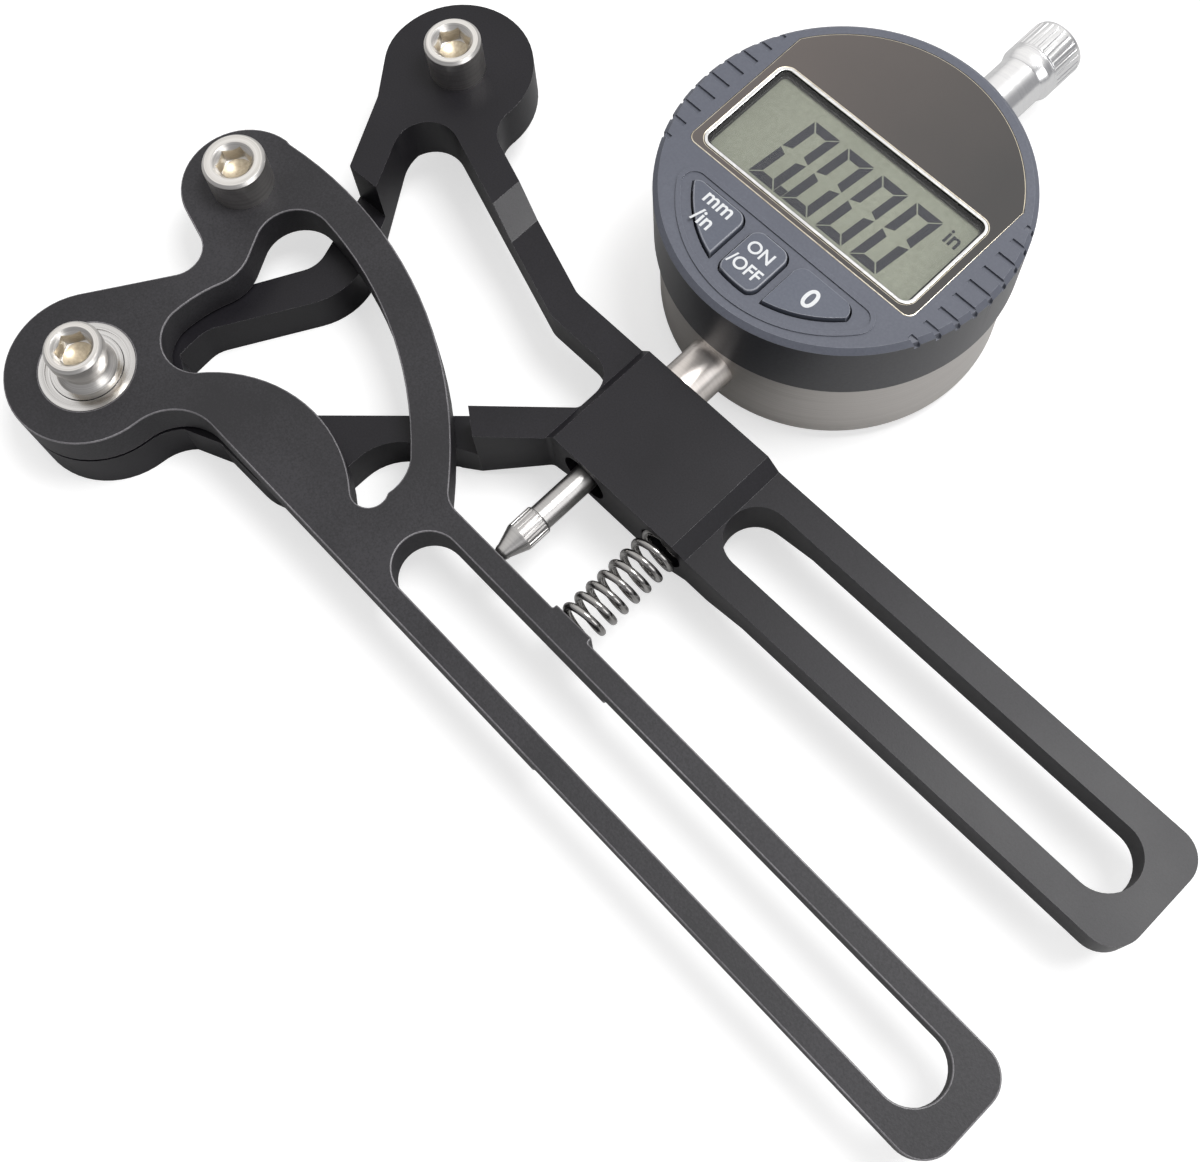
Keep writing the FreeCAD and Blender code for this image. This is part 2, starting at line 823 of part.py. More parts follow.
def make_gauge_stem():
    """The tube between the block and the case."""
    outside = level_bar(stem_radius, stem_start, stem_end)
    return outside.cut(level_bar(stem_bore_radius, stem_start - overrun, stem_end + overrun))


def make_bush(outer, start_y, length):
    """A plain bush that the spindle slides in."""
    bore = level_bar(spindle_radius + running_gap, start_y - overrun, start_y + length + overrun)
    return level_bar(outer, start_y, start_y + length).cut(bore)


def make_stem_clamp_screw():
    """The grub screw that presses on the stem."""
    tip = spindle_reach - stem_radius - seat_gap
    start = Vector(block_left, clamp_y, gauge_axis_height)
    screw = Part.makeCylinder(clamp_radius, tip - block_left, start, along_x)
    socket_radius = clamp_socket_flats / math.sqrt(3)
    corners = [on_circle(origin, socket_radius, 60 * turn) for turn in range(6)]
    socket = plate(Part.Face(Part.makePolygon(corners + corners[:1])), -overrun, clamp_socket_depth)
    socket.rotate(origin, along_y, 90)
    socket.translate(start)
    return screw.cut(socket)


# Gauge case
# A brushed metal cup, open at the back, with a hub on its front that the bezel turns on.

case_back_drop = 8.0
case_front_rise = 6.5
case_floor = 1.5
case_edge_bevel = 0.5
hub_radius = 20.0
hub_height = 1.4
hub_wall = 3.0
case_back_thickness = 1.6
case_back_lip = 0.8
back_screw_radius = 1.0
back_screw_head_radius = 1.9
back_screw_length = 4.0
back_screw_margin = 3.55
back_screw_count = 4
back_screw_turn = 45.0
back_lug_radius = 2.6
screw_slot_width = 0.5
upper_tube_radius = 4.2
upper_tube_bore = 3.3
upper_tube_length = 19.35
gauge_center = Vector(spindle_reach, gauge_reach, 0)
gauge_back = gauge_axis_height - case_back_drop
case_front = gauge_axis_height + case_front_rise
tube_start = gauge_reach + case_radius - stem_entry
back_screw_circle = case_radius - back_screw_margin


def back_screw_places():
    """The places of the screws round the case back."""
    return [on_circle(gauge_center, back_screw_circle, back_screw_turn + 360 * index / back_screw_count)
            for index in range(back_screw_count)]


def make_gauge_case():
    """The cup with its hub, its screw lugs and the holes for the stem and the upper tube."""
    inner = case_radius - case_wall
    lug_bottom = gauge_back + case_back_thickness
    shell = turned([
        (inner, gauge_back),
        (case_radius, gauge_back),
        (case_radius, case_front - case_edge_bevel),
        (case_radius - case_edge_bevel, case_front),
        (hub_radius, case_front),
        (hub_radius, case_front + hub_height),
        (hub_radius - hub_wall, case_front + hub_height),
        (hub_radius - hub_wall, case_front - case_floor),
        (inner, case_front - case_floor),
    ], gauge_center)
    reach = upright(inner + seat_gap, gauge_back, case_front, gauge_center)
    lugs = [upright(back_lug_radius, lug_bottom, case_front - case_floor, center).common(reach)
            for center in back_screw_places()]
    floor = upright(hub_radius - hub_wall, case_front - case_floor, case_front, gauge_center)
    wiring_hole = upright(wiring_radius, gauge_back, case_front + overrun, gauge_center)
    screw_holes = [upright(back_screw_radius, gauge_back, lug_bottom + back_screw_length, center)
                   for center in back_screw_places()]
    cuts = [
        wiring_hole,
        level_bar(stem_radius, gauge_reach - case_radius - overrun, stem_end),
        level_bar(upper_tube_radius, tube_start, gauge_reach + case_radius + overrun),
    ]
    return fused([shell, floor] + lugs).cut(cuts + screw_holes)


def make_case_back():
    """The rear cover, countersunk for its screws."""
    cover_radius = case_radius - case_wall - seat_gap
    cover = upright(cover_radius, gauge_back, gauge_back + case_back_thickness, gauge_center)
    outside = gauge_back - overrun
    holes = []
    for center in back_screw_places():
        holes.append(upright(back_screw_radius, outside, pad_top, center))
        holes.append(upright(back_screw_head_radius, outside, gauge_back + case_back_lip, center))
    return cover.cut(holes)


def make_back_screws():
    """The screws of the case back, heads outward."""
    screws = []
    end = gauge_back + case_back_thickness + back_screw_length - seat_gap
    for center in back_screw_places():
        head = upright(back_screw_head_radius, gauge_back + seat_gap, gauge_back + case_back_lip, center)
        thread = upright(back_screw_radius, gauge_back + case_back_lip, end, center)
        slot = block(
            center.x - back_screw_head_radius, center.x + back_screw_head_radius,
            center.y - screw_slot_width / 2, center.y + screw_slot_width / 2,
            gauge_back - overrun, gauge_back + case_back_lip / 2)
        screws.append(fused([head, thread]).cut(slot))
    return Part.makeCompound(screws)


# Upper tube and dust cap
# A plated tube covers the spindle's top end. The knurled cap screws into it.

cap_radius = 4.8
cap_flare_length = 1.6
cap_collar_length = 1.2
cap_length = 6.7
cap_dome = 0.7
cap_spigot_radius = 3.3
cap_spigot_length = 2.0
tube_end = tube_start + upper_tube_length
cap_flare_end = tube_end + cap_flare_length
cap_start = cap_flare_end + cap_collar_length
cap_end = cap_start + cap_length


def make_upper_tube():
    """The tube, screwed into the case wall."""
    outside = level_bar(upper_tube_radius, tube_start, tube_end)
    return outside.cut(level_bar(upper_tube_bore, tube_start - overrun, tube_end + overrun))


def make_dust_cap():
    """The cap: spigot, flare, collar and grip."""
    spigot = level_bar(cap_spigot_radius, tube_end - cap_spigot_length, tube_end)
    flare = level_cone(upper_tube_radius, cap_radius, tube_end, cap_flare_end)
    grip = level_bar(cap_radius, cap_flare_end, cap_end - cap_dome)
    dome = level_cone(cap_radius, cap_radius - cap_dome, cap_end - cap_dome, cap_end)
    return fused([spigot, flare, grip, dome])


# Spindle and contact point
# The spindle slides in the bushes. Its contact point rests on the lever's upper edge.

spindle_radius = 2.05
spindle_over_bush = 1.0
contact_band_radius = 2.4
contact_band_length = 4.1
contact_cone_length = 3.0
contact_tip_radius = 1.3
contact_gap = 0.05
contact_thread_radius = 1.2
contact_thread_length = 4.0
tip_y = lever_handle_point(spindle_reach, 1).y + contact_gap
cone_start = tip_y + contact_tip_radius
band_start = cone_start + contact_cone_length
spindle_start = band_start + contact_band_length
spindle_top = tube_start + upper_bush_length + spindle_over_bush


def make_spindle():
    """The rod, bored for the contact point's thread and cross-bored for the guide pin."""
    rod = level_bar(spindle_radius, spindle_start, spindle_top)
    thread = level_bar(contact_thread_radius, spindle_start - overrun, spindle_start + contact_thread_length)
    pin_hole = upright(
        guide_pin_radius, gauge_axis_height - spindle_radius - overrun, gauge_axis_height,
        Vector(spindle_reach, guide_pin_y, 0))
    return rod.cut([thread, pin_hole])


def make_contact_point():
    """Round tip, cone, band and thread in one piece."""
    tip = Part.makeSphere(contact_tip_radius, Vector(spindle_reach, cone_start, gauge_axis_height))
    cone = level_cone(contact_tip_radius, contact_band_radius, cone_start, band_start)
    band = level_bar(contact_band_radius, band_start, spindle_start)
    thread = level_bar(contact_thread_radius, spindle_start, spindle_start + contact_thread_length - seat_gap)
    return fused([tip, cone, band, thread])


# Parts inside the case
# The scale rides on the spindle, the sensor board reads it, and a pin in a slotted guide stops the
# spindle from turning. A light spring in the upper tube pushes the spindle down.

scale_length = 26.0
scale_width = 8.0
scale_thickness = 1.2
scale_set_back = 2.4
scale_step = 0.4
sensor_gap = 0.2
sensor_width = 24.0
sensor_length = 30.0
sensor_board_thickness = 1.2
guide_pin_radius = 0.8
guide_pin_set_back = 4.4
guide_rail_width = 6.0
guide_rail_set_back = 8.4
guide_rail_length = 16.0
guide_rail_clearance = 0.6
spindle_spring_radius = 2.9
spindle_spring_bore = 2.0
wiring_radius = 3.0
scale_middle_y = gauge_reach - scale_set_back
guide_pin_y = gauge_reach - guide_pin_set_back
guide_rail_start = gauge_reach - guide_rail_set_back
guide_rail_end = guide_rail_start + guide_rail_length
scale_bottom = gauge_axis_height + spindle_radius - scale_step
scale_top = scale_bottom + scale_thickness


def make_scale_strip():
    """The scale, seated on a flat hollow that fits the spindle."""
    strip = block(
        spindle_reach - scale_width / 2, spindle_reach + scale_width / 2,
        scale_middle_y - scale_length / 2, scale_middle_y + scale_length / 2, scale_bottom, scale_top)
    return strip.cut(level_bar(spindle_radius, spindle_start, spindle_top))


def make_sensor_board():
    """The reading board under the case's floor, with its pickup facing the scale."""
    board_top = case_front - case_floor - seat_gap
    board_bottom = board_top - sensor_board_thickness
    board = block(
        spindle_reach - sensor_width / 2, spindle_reach + sensor_width / 2,
        scale_middle_y - sensor_length / 2, scale_middle_y + sensor_length / 2, board_bottom, board_top)
    pickup = block(
        spindle_reach - scale_width / 2, spindle_reach + scale_width / 2,
        scale_middle_y - scale_width, scale_middle_y + scale_width, scale_top + sensor_gap, board_bottom)
    return fused([board, pickup])


def make_guide_pin():
    """The pin that keeps the spindle from turning."""
    pin_bottom = gauge_back + case_back_thickness + guide_rail_clearance
    pin_top = gauge_axis_height - spindle_radius / 2
    return upright(guide_pin_radius, pin_bottom, pin_top, Vector(spindle_reach, guide_pin_y, 0))


def make_guide_rail():
    """The slotted guide on the case back that the pin runs in."""
    rail_bottom = gauge_back + case_back_thickness
    rail_top = gauge_axis_height - spindle_radius - guide_rail_clearance
    half_slot = guide_pin_radius + running_gap
    rail = block(
        spindle_reach - guide_rail_width / 2, spindle_reach + guide_rail_width / 2,
        guide_rail_start, guide_rail_end, rail_bottom, rail_top)
    slot = block(
        spindle_reach - half_slot, spindle_reach + half_slot,
        guide_rail_start + overrun, guide_rail_end - overrun, rail_bottom - overrun, rail_top + overrun)
    return rail.cut(slot)


def make_spindle_spring():
    """The spindle's own spring, as the sleeve that its turns fill."""
    spring_end = tube_end - cap_spigot_length
    outside = level_bar(spindle_spring_radius, spindle_top, spring_end)
    return outside.cut(level_bar(spindle_spring_bore, spindle_top - overrun, spring_end + overrun))


# Bezel
# The grey-blue plastic housing of the display. It turns on the case's hub, and a ring holds it there.

bezel_radius = 27.5
bezel_wall = 2.0
bezel_gap = 0.1
bezel_face_rise = 18.5
bezel_roof = 1.8
bezel_edge_radius = 0.8
bezel_ledge = 1.5
base_thickness = 1.2
ring_width = 1.6
ring_thickness = 0.9
rib_count = 9
rib_pitch = 3.0
rib_groove_width = 0.8
rib_groove_depth = 0.4
rib_reach = 23.2
rib_height = 1.6
bezel_face = gauge_axis_height + bezel_face_rise
bezel_bottom = case_front + bezel_gap
bezel_inner = bezel_radius - bezel_wall
bezel_ceiling = bezel_face - bezel_roof


def gauge_rectangle(x_min, x_max, y_min, y_max, corner):
    """A rectangle on the gauge's face, measured from its middle, with round corners."""
    return rounded_face([
        (gauge_center + Vector(x_min, y_min, 0), corner),
        (gauge_center + Vector(x_max, y_min, 0), corner),
        (gauge_center + Vector(x_max, y_max, 0), corner),
        (gauge_center + Vector(x_min, y_max, 0), corner),
    ])


def button_panel(radius, top_y, corner, bottom, top):
    """The crescent below the window: a disc cut off by a straight top line, its two corners rounded."""
    disc = upright(radius, bottom, top, panel_center)
    keep = block(
        panel_center.x - bezel_radius, panel_center.x + bezel_radius,
        panel_center.y - bezel_radius, gauge_center.y + top_y, bottom, top)
    crescent = disc.common(keep)
    corner_edges = [
        edge for edge in crescent.Edges
        if abs(edge.Vertexes[0].Z - edge.Vertexes[-1].Z) > (top - bottom) / 2]
    return crescent.makeFillet(corner, corner_edges)


def rib_grooves():
    """The finger grooves on both sides of the bezel."""
    core = upright(bezel_radius - rib_groove_depth, bezel_bottom, bezel_face + overrun, gauge_center)
    half_width = rib_groove_width / 2
    grooves = []
    for side in (-1, 1):
        ends = (gauge_center.x + side * rib_reach, gauge_center.x + side * (bezel_radius + overrun))
        for index in range(rib_count):
            y = gauge_center.y + (index - (rib_count - 1) / 2) * rib_pitch
            across = (min(ends), max(ends), y - half_width, y + half_width)
            grooves.append(block(*across, bezel_face - rib_groove_depth, bezel_face + overrun))
            grooves.append(block(*across, bezel_face - rib_height, bezel_face).cut(core))
    return grooves


def make_gauge_bezel():
    """The housing: wall, roof, window, plate recess, buttons' holes, ribs and battery door."""
    board_seat = board_bottom + board_thickness
    housing = turned([
        (0, bezel_ceiling),
        (bezel_inner - bezel_ledge, bezel_ceiling),
        (bezel_inner - bezel_ledge, board_seat),
        (bezel_inner, board_seat),
        (bezel_inner, bezel_bottom),
        (bezel_radius, bezel_bottom),
        (bezel_radius, bezel_face - bezel_edge_radius),
        (bezel_radius - bezel_edge_radius, bezel_face),
        (0, bezel_face),
    ], gauge_center)
    panel = button_panel(
        panel_radius, panel_top_y, panel_corner, bezel_face, bezel_face + panel_lip_height)
    hollow = button_panel(
        panel_radius - panel_lip_width, panel_top_y - panel_lip_width, panel_corner - panel_lip_width,
        bezel_face, bezel_face + overrun)
    lip = panel.cut(hollow)
    cuts = [
        plate(plate_face(0), bezel_face - plate_thickness - seat_gap, bezel_face + overrun),
        plate(window_face(0), bezel_ceiling - overrun, bezel_face + overrun),
        battery_door(seat_gap),
        upright(cell_radius + running_gap, bezel_bottom, cell_top + seat_gap, cell_center),
    ]
    holes = [plate(face, bezel_ceiling - overrun, bezel_face + overrun)
             for face in button_faces(button_gap)]
    return fused([housing, lip]).cut(cuts + holes + rib_grooves())


def make_bezel_base():
    """The ring pressed into the bezel's back, that runs round the hub."""
    bottom = bezel_bottom
    return upright_ring(
        bezel_inner - seat_gap, hub_radius + running_gap, bottom, bottom + base_thickness, gauge_center)


def make_turning_ring():
    """The ring on the hub that keeps the bezel on the case."""
    bottom = case_front + hub_height
    outer = hub_radius + ring_width
    inner = hub_radius - hub_wall
    return upright_ring(outer, inner, bottom, bottom + ring_thickness, gauge_center)


# Display
# A dark glossy plate, a silver frame, a clear window and the liquid crystal panel under it.

plate_half_width = 21.6
plate_low = -10.3
plate_radius = 25.5
plate_corner = 1.5
plate_thickness = 0.8
window_half_width = 20.1
window_low = -9.25
window_high = 8.9
window_corner = 1.9
window_frame_wall = 0.5
window_frame_rise = 0.1
window_lip = 0.5
window_thickness = 0.9
window_drop = 0.2
display_half_width = 20.6
display_half_height = 9.8
display_thickness = 1.9
window_bottom = bezel_face - window_drop - window_thickness


def plate_face(growth):
    """The display plate's outline: straight sides and foot, round top."""
    rectangle = gauge_rectangle(
        -plate_half_width - growth, plate_half_width + growth, plate_low - growth, plate_radius + overrun,
        plate_corner)
    disc = Part.Face(Part.Wire(Part.makeCircle(plate_radius + growth, gauge_center, along_z)))
    return rectangle.common(disc).Faces[0]


def window_face(inset):
    """The window frame's outline, drawn in by the inset."""
    return gauge_rectangle(
        -window_half_width + inset, window_half_width - inset, window_low + inset, window_high - inset,
        window_corner - inset)


def make_display_plate():
    """The dark plate with its hole for the window frame."""
    solid = plate(plate_face(-seat_gap), bezel_face - plate_thickness, bezel_face)
    return solid.cut(plate(window_face(0), bezel_ceiling, bezel_face + overrun))


def make_window_frame():
    """The silver frame, with a lip that the clear window rests on."""
    above = bezel_face + overrun
    outside = plate(window_face(seat_gap), bezel_ceiling, bezel_face + window_frame_rise)
    opening = plate(window_face(window_frame_wall + window_lip), bezel_ceiling - overrun, above)
    seat = plate(window_face(window_frame_wall), window_bottom, above)
    return outside.cut([opening, seat])


def make_display_window():
    """The clear window."""
    return plate(window_face(window_frame_wall + seat_gap), window_bottom, window_bottom + window_thickness)


def make_display_panel():
    """The liquid crystal panel, between the board and the window frame."""
    middle_y = (window_low + window_high) / 2
    face = gauge_rectangle(
        -display_half_width, display_half_width,
        middle_y - display_half_height, middle_y + display_half_height, 0)
    bottom = board_bottom + board_thickness
    return plate(face, bottom, bezel_ceiling - seat_gap)


# Buttons
# Three buttons of one soft plastic family, in holes that follow the crescent's round edge.

panel_right = 0.5
panel_drop = 3.2
panel_radius = 22.3
panel_top_y = -12.5
panel_corner = 2.6
panel_lip_width = 0.7
panel_lip_height = 0.25
button_radius = 19.8
button_gap = 0.3
button_corner = 1.8
button_rise = 0.7
button_travel = 0.4
flange_width = 0.7
flange_thickness = 0.6
unit_button_size = (-15.7, -5.3, -24.0, -14.2)
power_button_size = (-3.4, 3.4, -23.1, -14.4)
zero_button_size = (5.1, 15.3, -24.0, -14.4)
board_thickness = 1.2
panel_center = gauge_center + Vector(panel_right, -panel_drop, 0)
board_bottom = bezel_ceiling - display_thickness - seat_gap - board_thickness
pad_thickness = display_thickness + seat_gap - flange_thickness - button_travel - 2 * running_gap


def button_face(size, growth):
    """A button's outline: a rounded rectangle cut off by the crescent's round."""
    x_min, x_max, y_min, y_max = size
    rectangle = gauge_rectangle(
        x_min - growth, x_max + growth, y_min - growth, y_max + growth, button_corner + growth)
    disc = Part.Face(Part.Wire(Part.makeCircle(button_radius + growth, panel_center, along_z)))
    return rectangle.common(disc).Faces[0]


def button_faces(growth):
    """The outlines of the three buttons, or of their holes."""
    return [button_face(size, growth) for size in (unit_button_size, power_button_size, zero_button_size)]


def make_button(size):
    """A button with the flange that keeps it in its hole."""
    flange_top = bezel_ceiling - running_gap
    cap = plate(button_face(size, 0), flange_top, bezel_face + button_rise)
    flange = plate(button_face(size, flange_width), flange_top - flange_thickness, flange_top)
    return fused([cap, flange])


def make_button_pad():
    """The soft pad on the board, under the three buttons."""
    bottom = board_bottom + board_thickness
    radius = button_radius + flange_width
    return button_panel(
        radius, panel_top_y - flange_width, panel_corner, bottom, bottom + pad_thickness)


# Board, cell and battery door
# The cell lies under the display plate's round top. Its door is in the bezel's rear side.

cell_radius = 5.8
cell_thickness = 5.0
cell_reach = 16.4
door_width = 13.0
door_height = 6.0
door_depth = 1.8
door_lift = 0.5
cell_center = gauge_center + Vector(0, cell_reach, 0)
cell_top = bezel_ceiling - seat_gap
cell_bottom = cell_top - cell_thickness
chip_size = 7.0
chip_thickness = 0.9


def battery_door(clearance):
    """The door's block in the bezel's wall, grown by a clearance."""
    middle_x = gauge_center.x
    outer = upright(bezel_radius + clearance, bezel_bottom, bezel_face, gauge_center)
    inner = upright(bezel_radius - door_depth - clearance, bezel_bottom - overrun, bezel_face, gauge_center)
    bottom = bezel_bottom + base_thickness + door_lift - clearance
    keep = block(
        middle_x - door_width / 2 - clearance, middle_x + door_width / 2 + clearance,
        gauge_center.y, gauge_center.y + bezel_radius + overrun, bottom, bottom + door_height + 2 * clearance)
    return outer.cut(inner).common(keep)


def make_circuit_board():
    """The round board, cut away for the cell, with its chip underneath."""
    board = upright(bezel_inner - seat_gap, board_bottom, board_bottom + board_thickness, gauge_center)
    chip = block(
        gauge_center.x - chip_size / 2, gauge_center.x + chip_size / 2,
        gauge_center.y - chip_size / 2, gauge_center.y + chip_size / 2,
        board_bottom - chip_thickness, board_bottom)
    return fused([board, chip]).cut(upright(cell_radius + running_gap, cell_bottom, cell_top, cell_center))


def make_coin_cell():
    """The cell, with its narrower contact face."""
    step = cell_thickness / 5
    body = upright(cell_radius, cell_bottom + step, cell_top, cell_center)
    return fused([body, upright(cell_radius - step, cell_bottom, cell_bottom + step, cell_center)])


# Every piece, by the name of its file
pieces = {
    "main_frame": make_main_frame,
    "frame_post": lambda: make_post(
        frame_post_radius, frame_post_height, pad_top, arm_bottom + post_thread_margin, frame_post_place),
    "pivot_post": make_pivot_post,
    "pivot_spacer": make_pivot_spacer,
    "bearing_inner_ring": make_bearing_inner_ring,
    "bearing_balls": make_bearing_balls,
    "bearing_outer_ring": make_bearing_outer_ring,
    "bearing_shield": make_bearing_shield,
    "lever_arm": make_lever_arm,
    "lever_post": lambda: make_post(
        lever_post_radius, lever_post_height, arm_top, arm_bottom + post_thread_margin, lever_post_place),
    "return_spring": make_return_spring,
    "stem_clamp_screw": make_stem_clamp_screw,
    "gauge_stem": make_gauge_stem,
    "lower_bush": lambda: make_bush(stem_bore_radius, stem_start, lower_bush_length),
    "upper_bush": lambda: make_bush(upper_tube_bore, tube_start, upper_bush_length),
    "spindle": make_spindle,
    "contact_point": make_contact_point,
    "scale_strip": make_scale_strip,
    "guide_pin": make_guide_pin,
    "guide_rail": make_guide_rail,
    "sensor_board": make_sensor_board,
    "spindle_spring": make_spindle_spring,
    "gauge_case": make_gauge_case,
    "case_back": make_case_back,
    "back_screws": make_back_screws,
    "upper_tube": make_upper_tube,
    "dust_cap": make_dust_cap,
    "turning_ring": make_turning_ring,
    "bezel_base": make_bezel_base,
    "gauge_bezel": make_gauge_bezel,
    "display_plate": make_display_plate,
    "window_frame": make_window_frame,
    "display_window": make_display_window,
    "display_panel": make_display_panel,
    "circuit_board": make_circuit_board,
    "button_pad": make_button_pad,
    "unit_button": lambda: make_button(unit_button_size),
    "power_button": lambda: make_button(power_button_size),
    "zero_button": lambda: make_button(zero_button_size),
    "coin_cell": make_coin_cell,
    "battery_door": lambda: battery_door(0),
}

for name, make in pieces.items():
    save(name, make())
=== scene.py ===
import math

import bmesh
import bpy
from mathutils import Matrix, Vector


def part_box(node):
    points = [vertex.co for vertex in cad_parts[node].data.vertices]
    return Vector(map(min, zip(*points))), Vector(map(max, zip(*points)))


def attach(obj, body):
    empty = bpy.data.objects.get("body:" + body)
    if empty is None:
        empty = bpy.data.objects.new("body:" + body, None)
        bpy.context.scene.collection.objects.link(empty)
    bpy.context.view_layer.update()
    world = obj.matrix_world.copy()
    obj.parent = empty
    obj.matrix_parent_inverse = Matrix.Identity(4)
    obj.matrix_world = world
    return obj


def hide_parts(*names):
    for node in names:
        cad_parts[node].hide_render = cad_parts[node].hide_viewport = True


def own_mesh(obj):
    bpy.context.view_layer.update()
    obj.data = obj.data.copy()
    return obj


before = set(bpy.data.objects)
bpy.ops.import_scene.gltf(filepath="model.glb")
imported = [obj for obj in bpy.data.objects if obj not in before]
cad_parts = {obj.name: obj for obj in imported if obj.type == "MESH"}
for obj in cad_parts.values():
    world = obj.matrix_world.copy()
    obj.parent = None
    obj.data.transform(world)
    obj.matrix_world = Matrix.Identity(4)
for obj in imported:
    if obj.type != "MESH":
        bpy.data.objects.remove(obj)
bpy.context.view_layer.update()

# Camera
# The tool lies on a table and is seen from above its handles, turned so that the handles run to the
# lower right of the picture.

camera_place = Vector((0.14157, -0.01366, 0.2235))
camera_right = Vector((0.6957, 0.7164, -0.0521))
camera_up = Vector((-0.6633, 0.6686, 0.3363))
camera_back = Vector((0.2757, -0.1994, 0.9403))
camera_lens = 47.3
camera_sensor = 36
bpy.ops.object.select_all(action="DESELECT")
bpy.ops.object.camera_add()
camera = bpy.context.object
camera.matrix_world = Matrix.Translation(camera_place) @ Matrix(
    (camera_right, camera_up, camera_back)).transposed().to_4x4()
camera.data.lens = camera_lens
camera.data.sensor_width = camera_sensor
bpy.context.scene.camera = camera
bpy.context.scene.view_settings.view_transform = "Standard"

# Table and light
# A white table in a white room, brighter high up and over the tool's head. One soft lamp hangs over
# the handles and a weaker one lights the walls of the case from the right.

table_size = 6.0
table_white = 0.60
table_glow = 0.62
bright_side_way = (-0.50, 0.30, 0.81)
room_light = 0.60
room_mirrored = 1.1
bpy.ops.mesh.primitive_plane_add(size=table_size)
table = bpy.context.object
table.name = "table"
table_paper = bpy.data.materials.new("table_paper")
table_paper.use_nodes = True
nodes = table_paper.node_tree.nodes
links = table_paper.node_tree.links
paper = nodes["Principled BSDF"]
paper.inputs["Base Color"].default_value = (table_white, table_white, table_white, 1)
paper.inputs["Roughness"].default_value = 0.9
paper.inputs["Emission Color"].default_value = (1, 1, 1, 1)
light_path = nodes.new("ShaderNodeLightPath")
seen_at_all = nodes.new("ShaderNodeMath")
seen_at_all.operation = "MAXIMUM"
glow = nodes.new("ShaderNodeMath")
glow.operation = "MULTIPLY"
glow.inputs[1].default_value = table_glow
links.new(light_path.outputs["Is Camera Ray"], seen_at_all.inputs[0])
links.new(light_path.outputs["Is Transmission Ray"], seen_at_all.inputs[1])
links.new(seen_at_all.outputs[0], glow.inputs[0])
links.new(glow.outputs[0], paper.inputs["Emission Strength"])
table.data.materials.append(table_paper)

room = bpy.data.worlds.new("room")
bpy.context.scene.world = room
room.use_nodes = True
nodes = room.node_tree.nodes
links = room.node_tree.links
direction = nodes.new("ShaderNodeTexCoord")
bright_side = nodes.new("ShaderNodeVectorMath")
bright_side.operation = "DOT_PRODUCT"
bright_side.inputs[1].default_value = bright_side_way
side_ramp = nodes.new("ShaderNodeValToRGB")
side_ramp.color_ramp.interpolation = "EASE"
side_ramp.color_ramp.elements[0].position = 0.20
side_ramp.color_ramp.elements[0].color = (0.30, 0.30, 0.31, 1)
side_ramp.color_ramp.elements[1].position = 0.95
side_ramp.color_ramp.elements[1].color = (0.92, 0.91, 0.90, 1)
rays = nodes.new("ShaderNodeLightPath")
strength = nodes.new("ShaderNodeMapRange")
strength.inputs["To Min"].default_value = room_light
strength.inputs["To Max"].default_value = room_mirrored
links.new(direction.outputs["Generated"], bright_side.inputs[0])
links.new(bright_side.outputs["Value"], side_ramp.inputs[0])
links.new(side_ramp.outputs[0], nodes["Background"].inputs["Color"])
links.new(rays.outputs["Is Glossy Ray"], strength.inputs["Value"])
links.new(strength.outputs[0], nodes["Background"].inputs["Strength"])


def soft_lamp(name, place, aim, size, power):
    """A square soft lamp at its place, turned to what it lights."""
    bpy.ops.object.light_add(type="AREA", location=place)
    lamp = bpy.context.object
    lamp.name = name
    lamp.data.size = size
    lamp.data.energy = power
    lamp.rotation_euler = (Vector(aim) - Vector(place)).to_track_quat("-Z", "Y").to_euler()


soft_lamp("handle_lamp", (0.21, 0.30, 0.75), (0.08, 0.05, 0), 0.32, 4.0)
soft_lamp("wall_lamp", (0.80, 0.10, 0.50), (0.08, 0.05, 0), 0.5, 1.6)


# Main frame
# One machined plate of black anodised aluminium: head, wishbone, block and first handle. Every edge
# is broken with a small bevel, where the black has worn to a lighter line, brightened further as a painted
# highlight.

frame_edge_width = 0.00022
edge_segments = 2
corner_crease = math.radians(32)
ramp_crease = math.radians(15)
merge_gap = 0.000002
flat_angle = math.radians(0.3)
plate_black = (0.0090, 0.0083, 0.0108, 1)
plate_black_light = (0.0150, 0.0138, 0.0176, 1)
edge_grey_highlight = (0.260, 0.250, 0.265, 1)


def in_group(group, kind, **values):
    """A new node in a node group, with its plain settings."""
    node = group.nodes.new(kind)
    for name, value in values.items():
        setattr(node, name, value)
    return node


def group_socket(group, name, way, kind, value=None):
    """A named input or output of a node group."""
    socket = group.interface.new_socket(name=name, in_out=way, socket_type=kind)
    if value is not None:
        socket.default_value = value


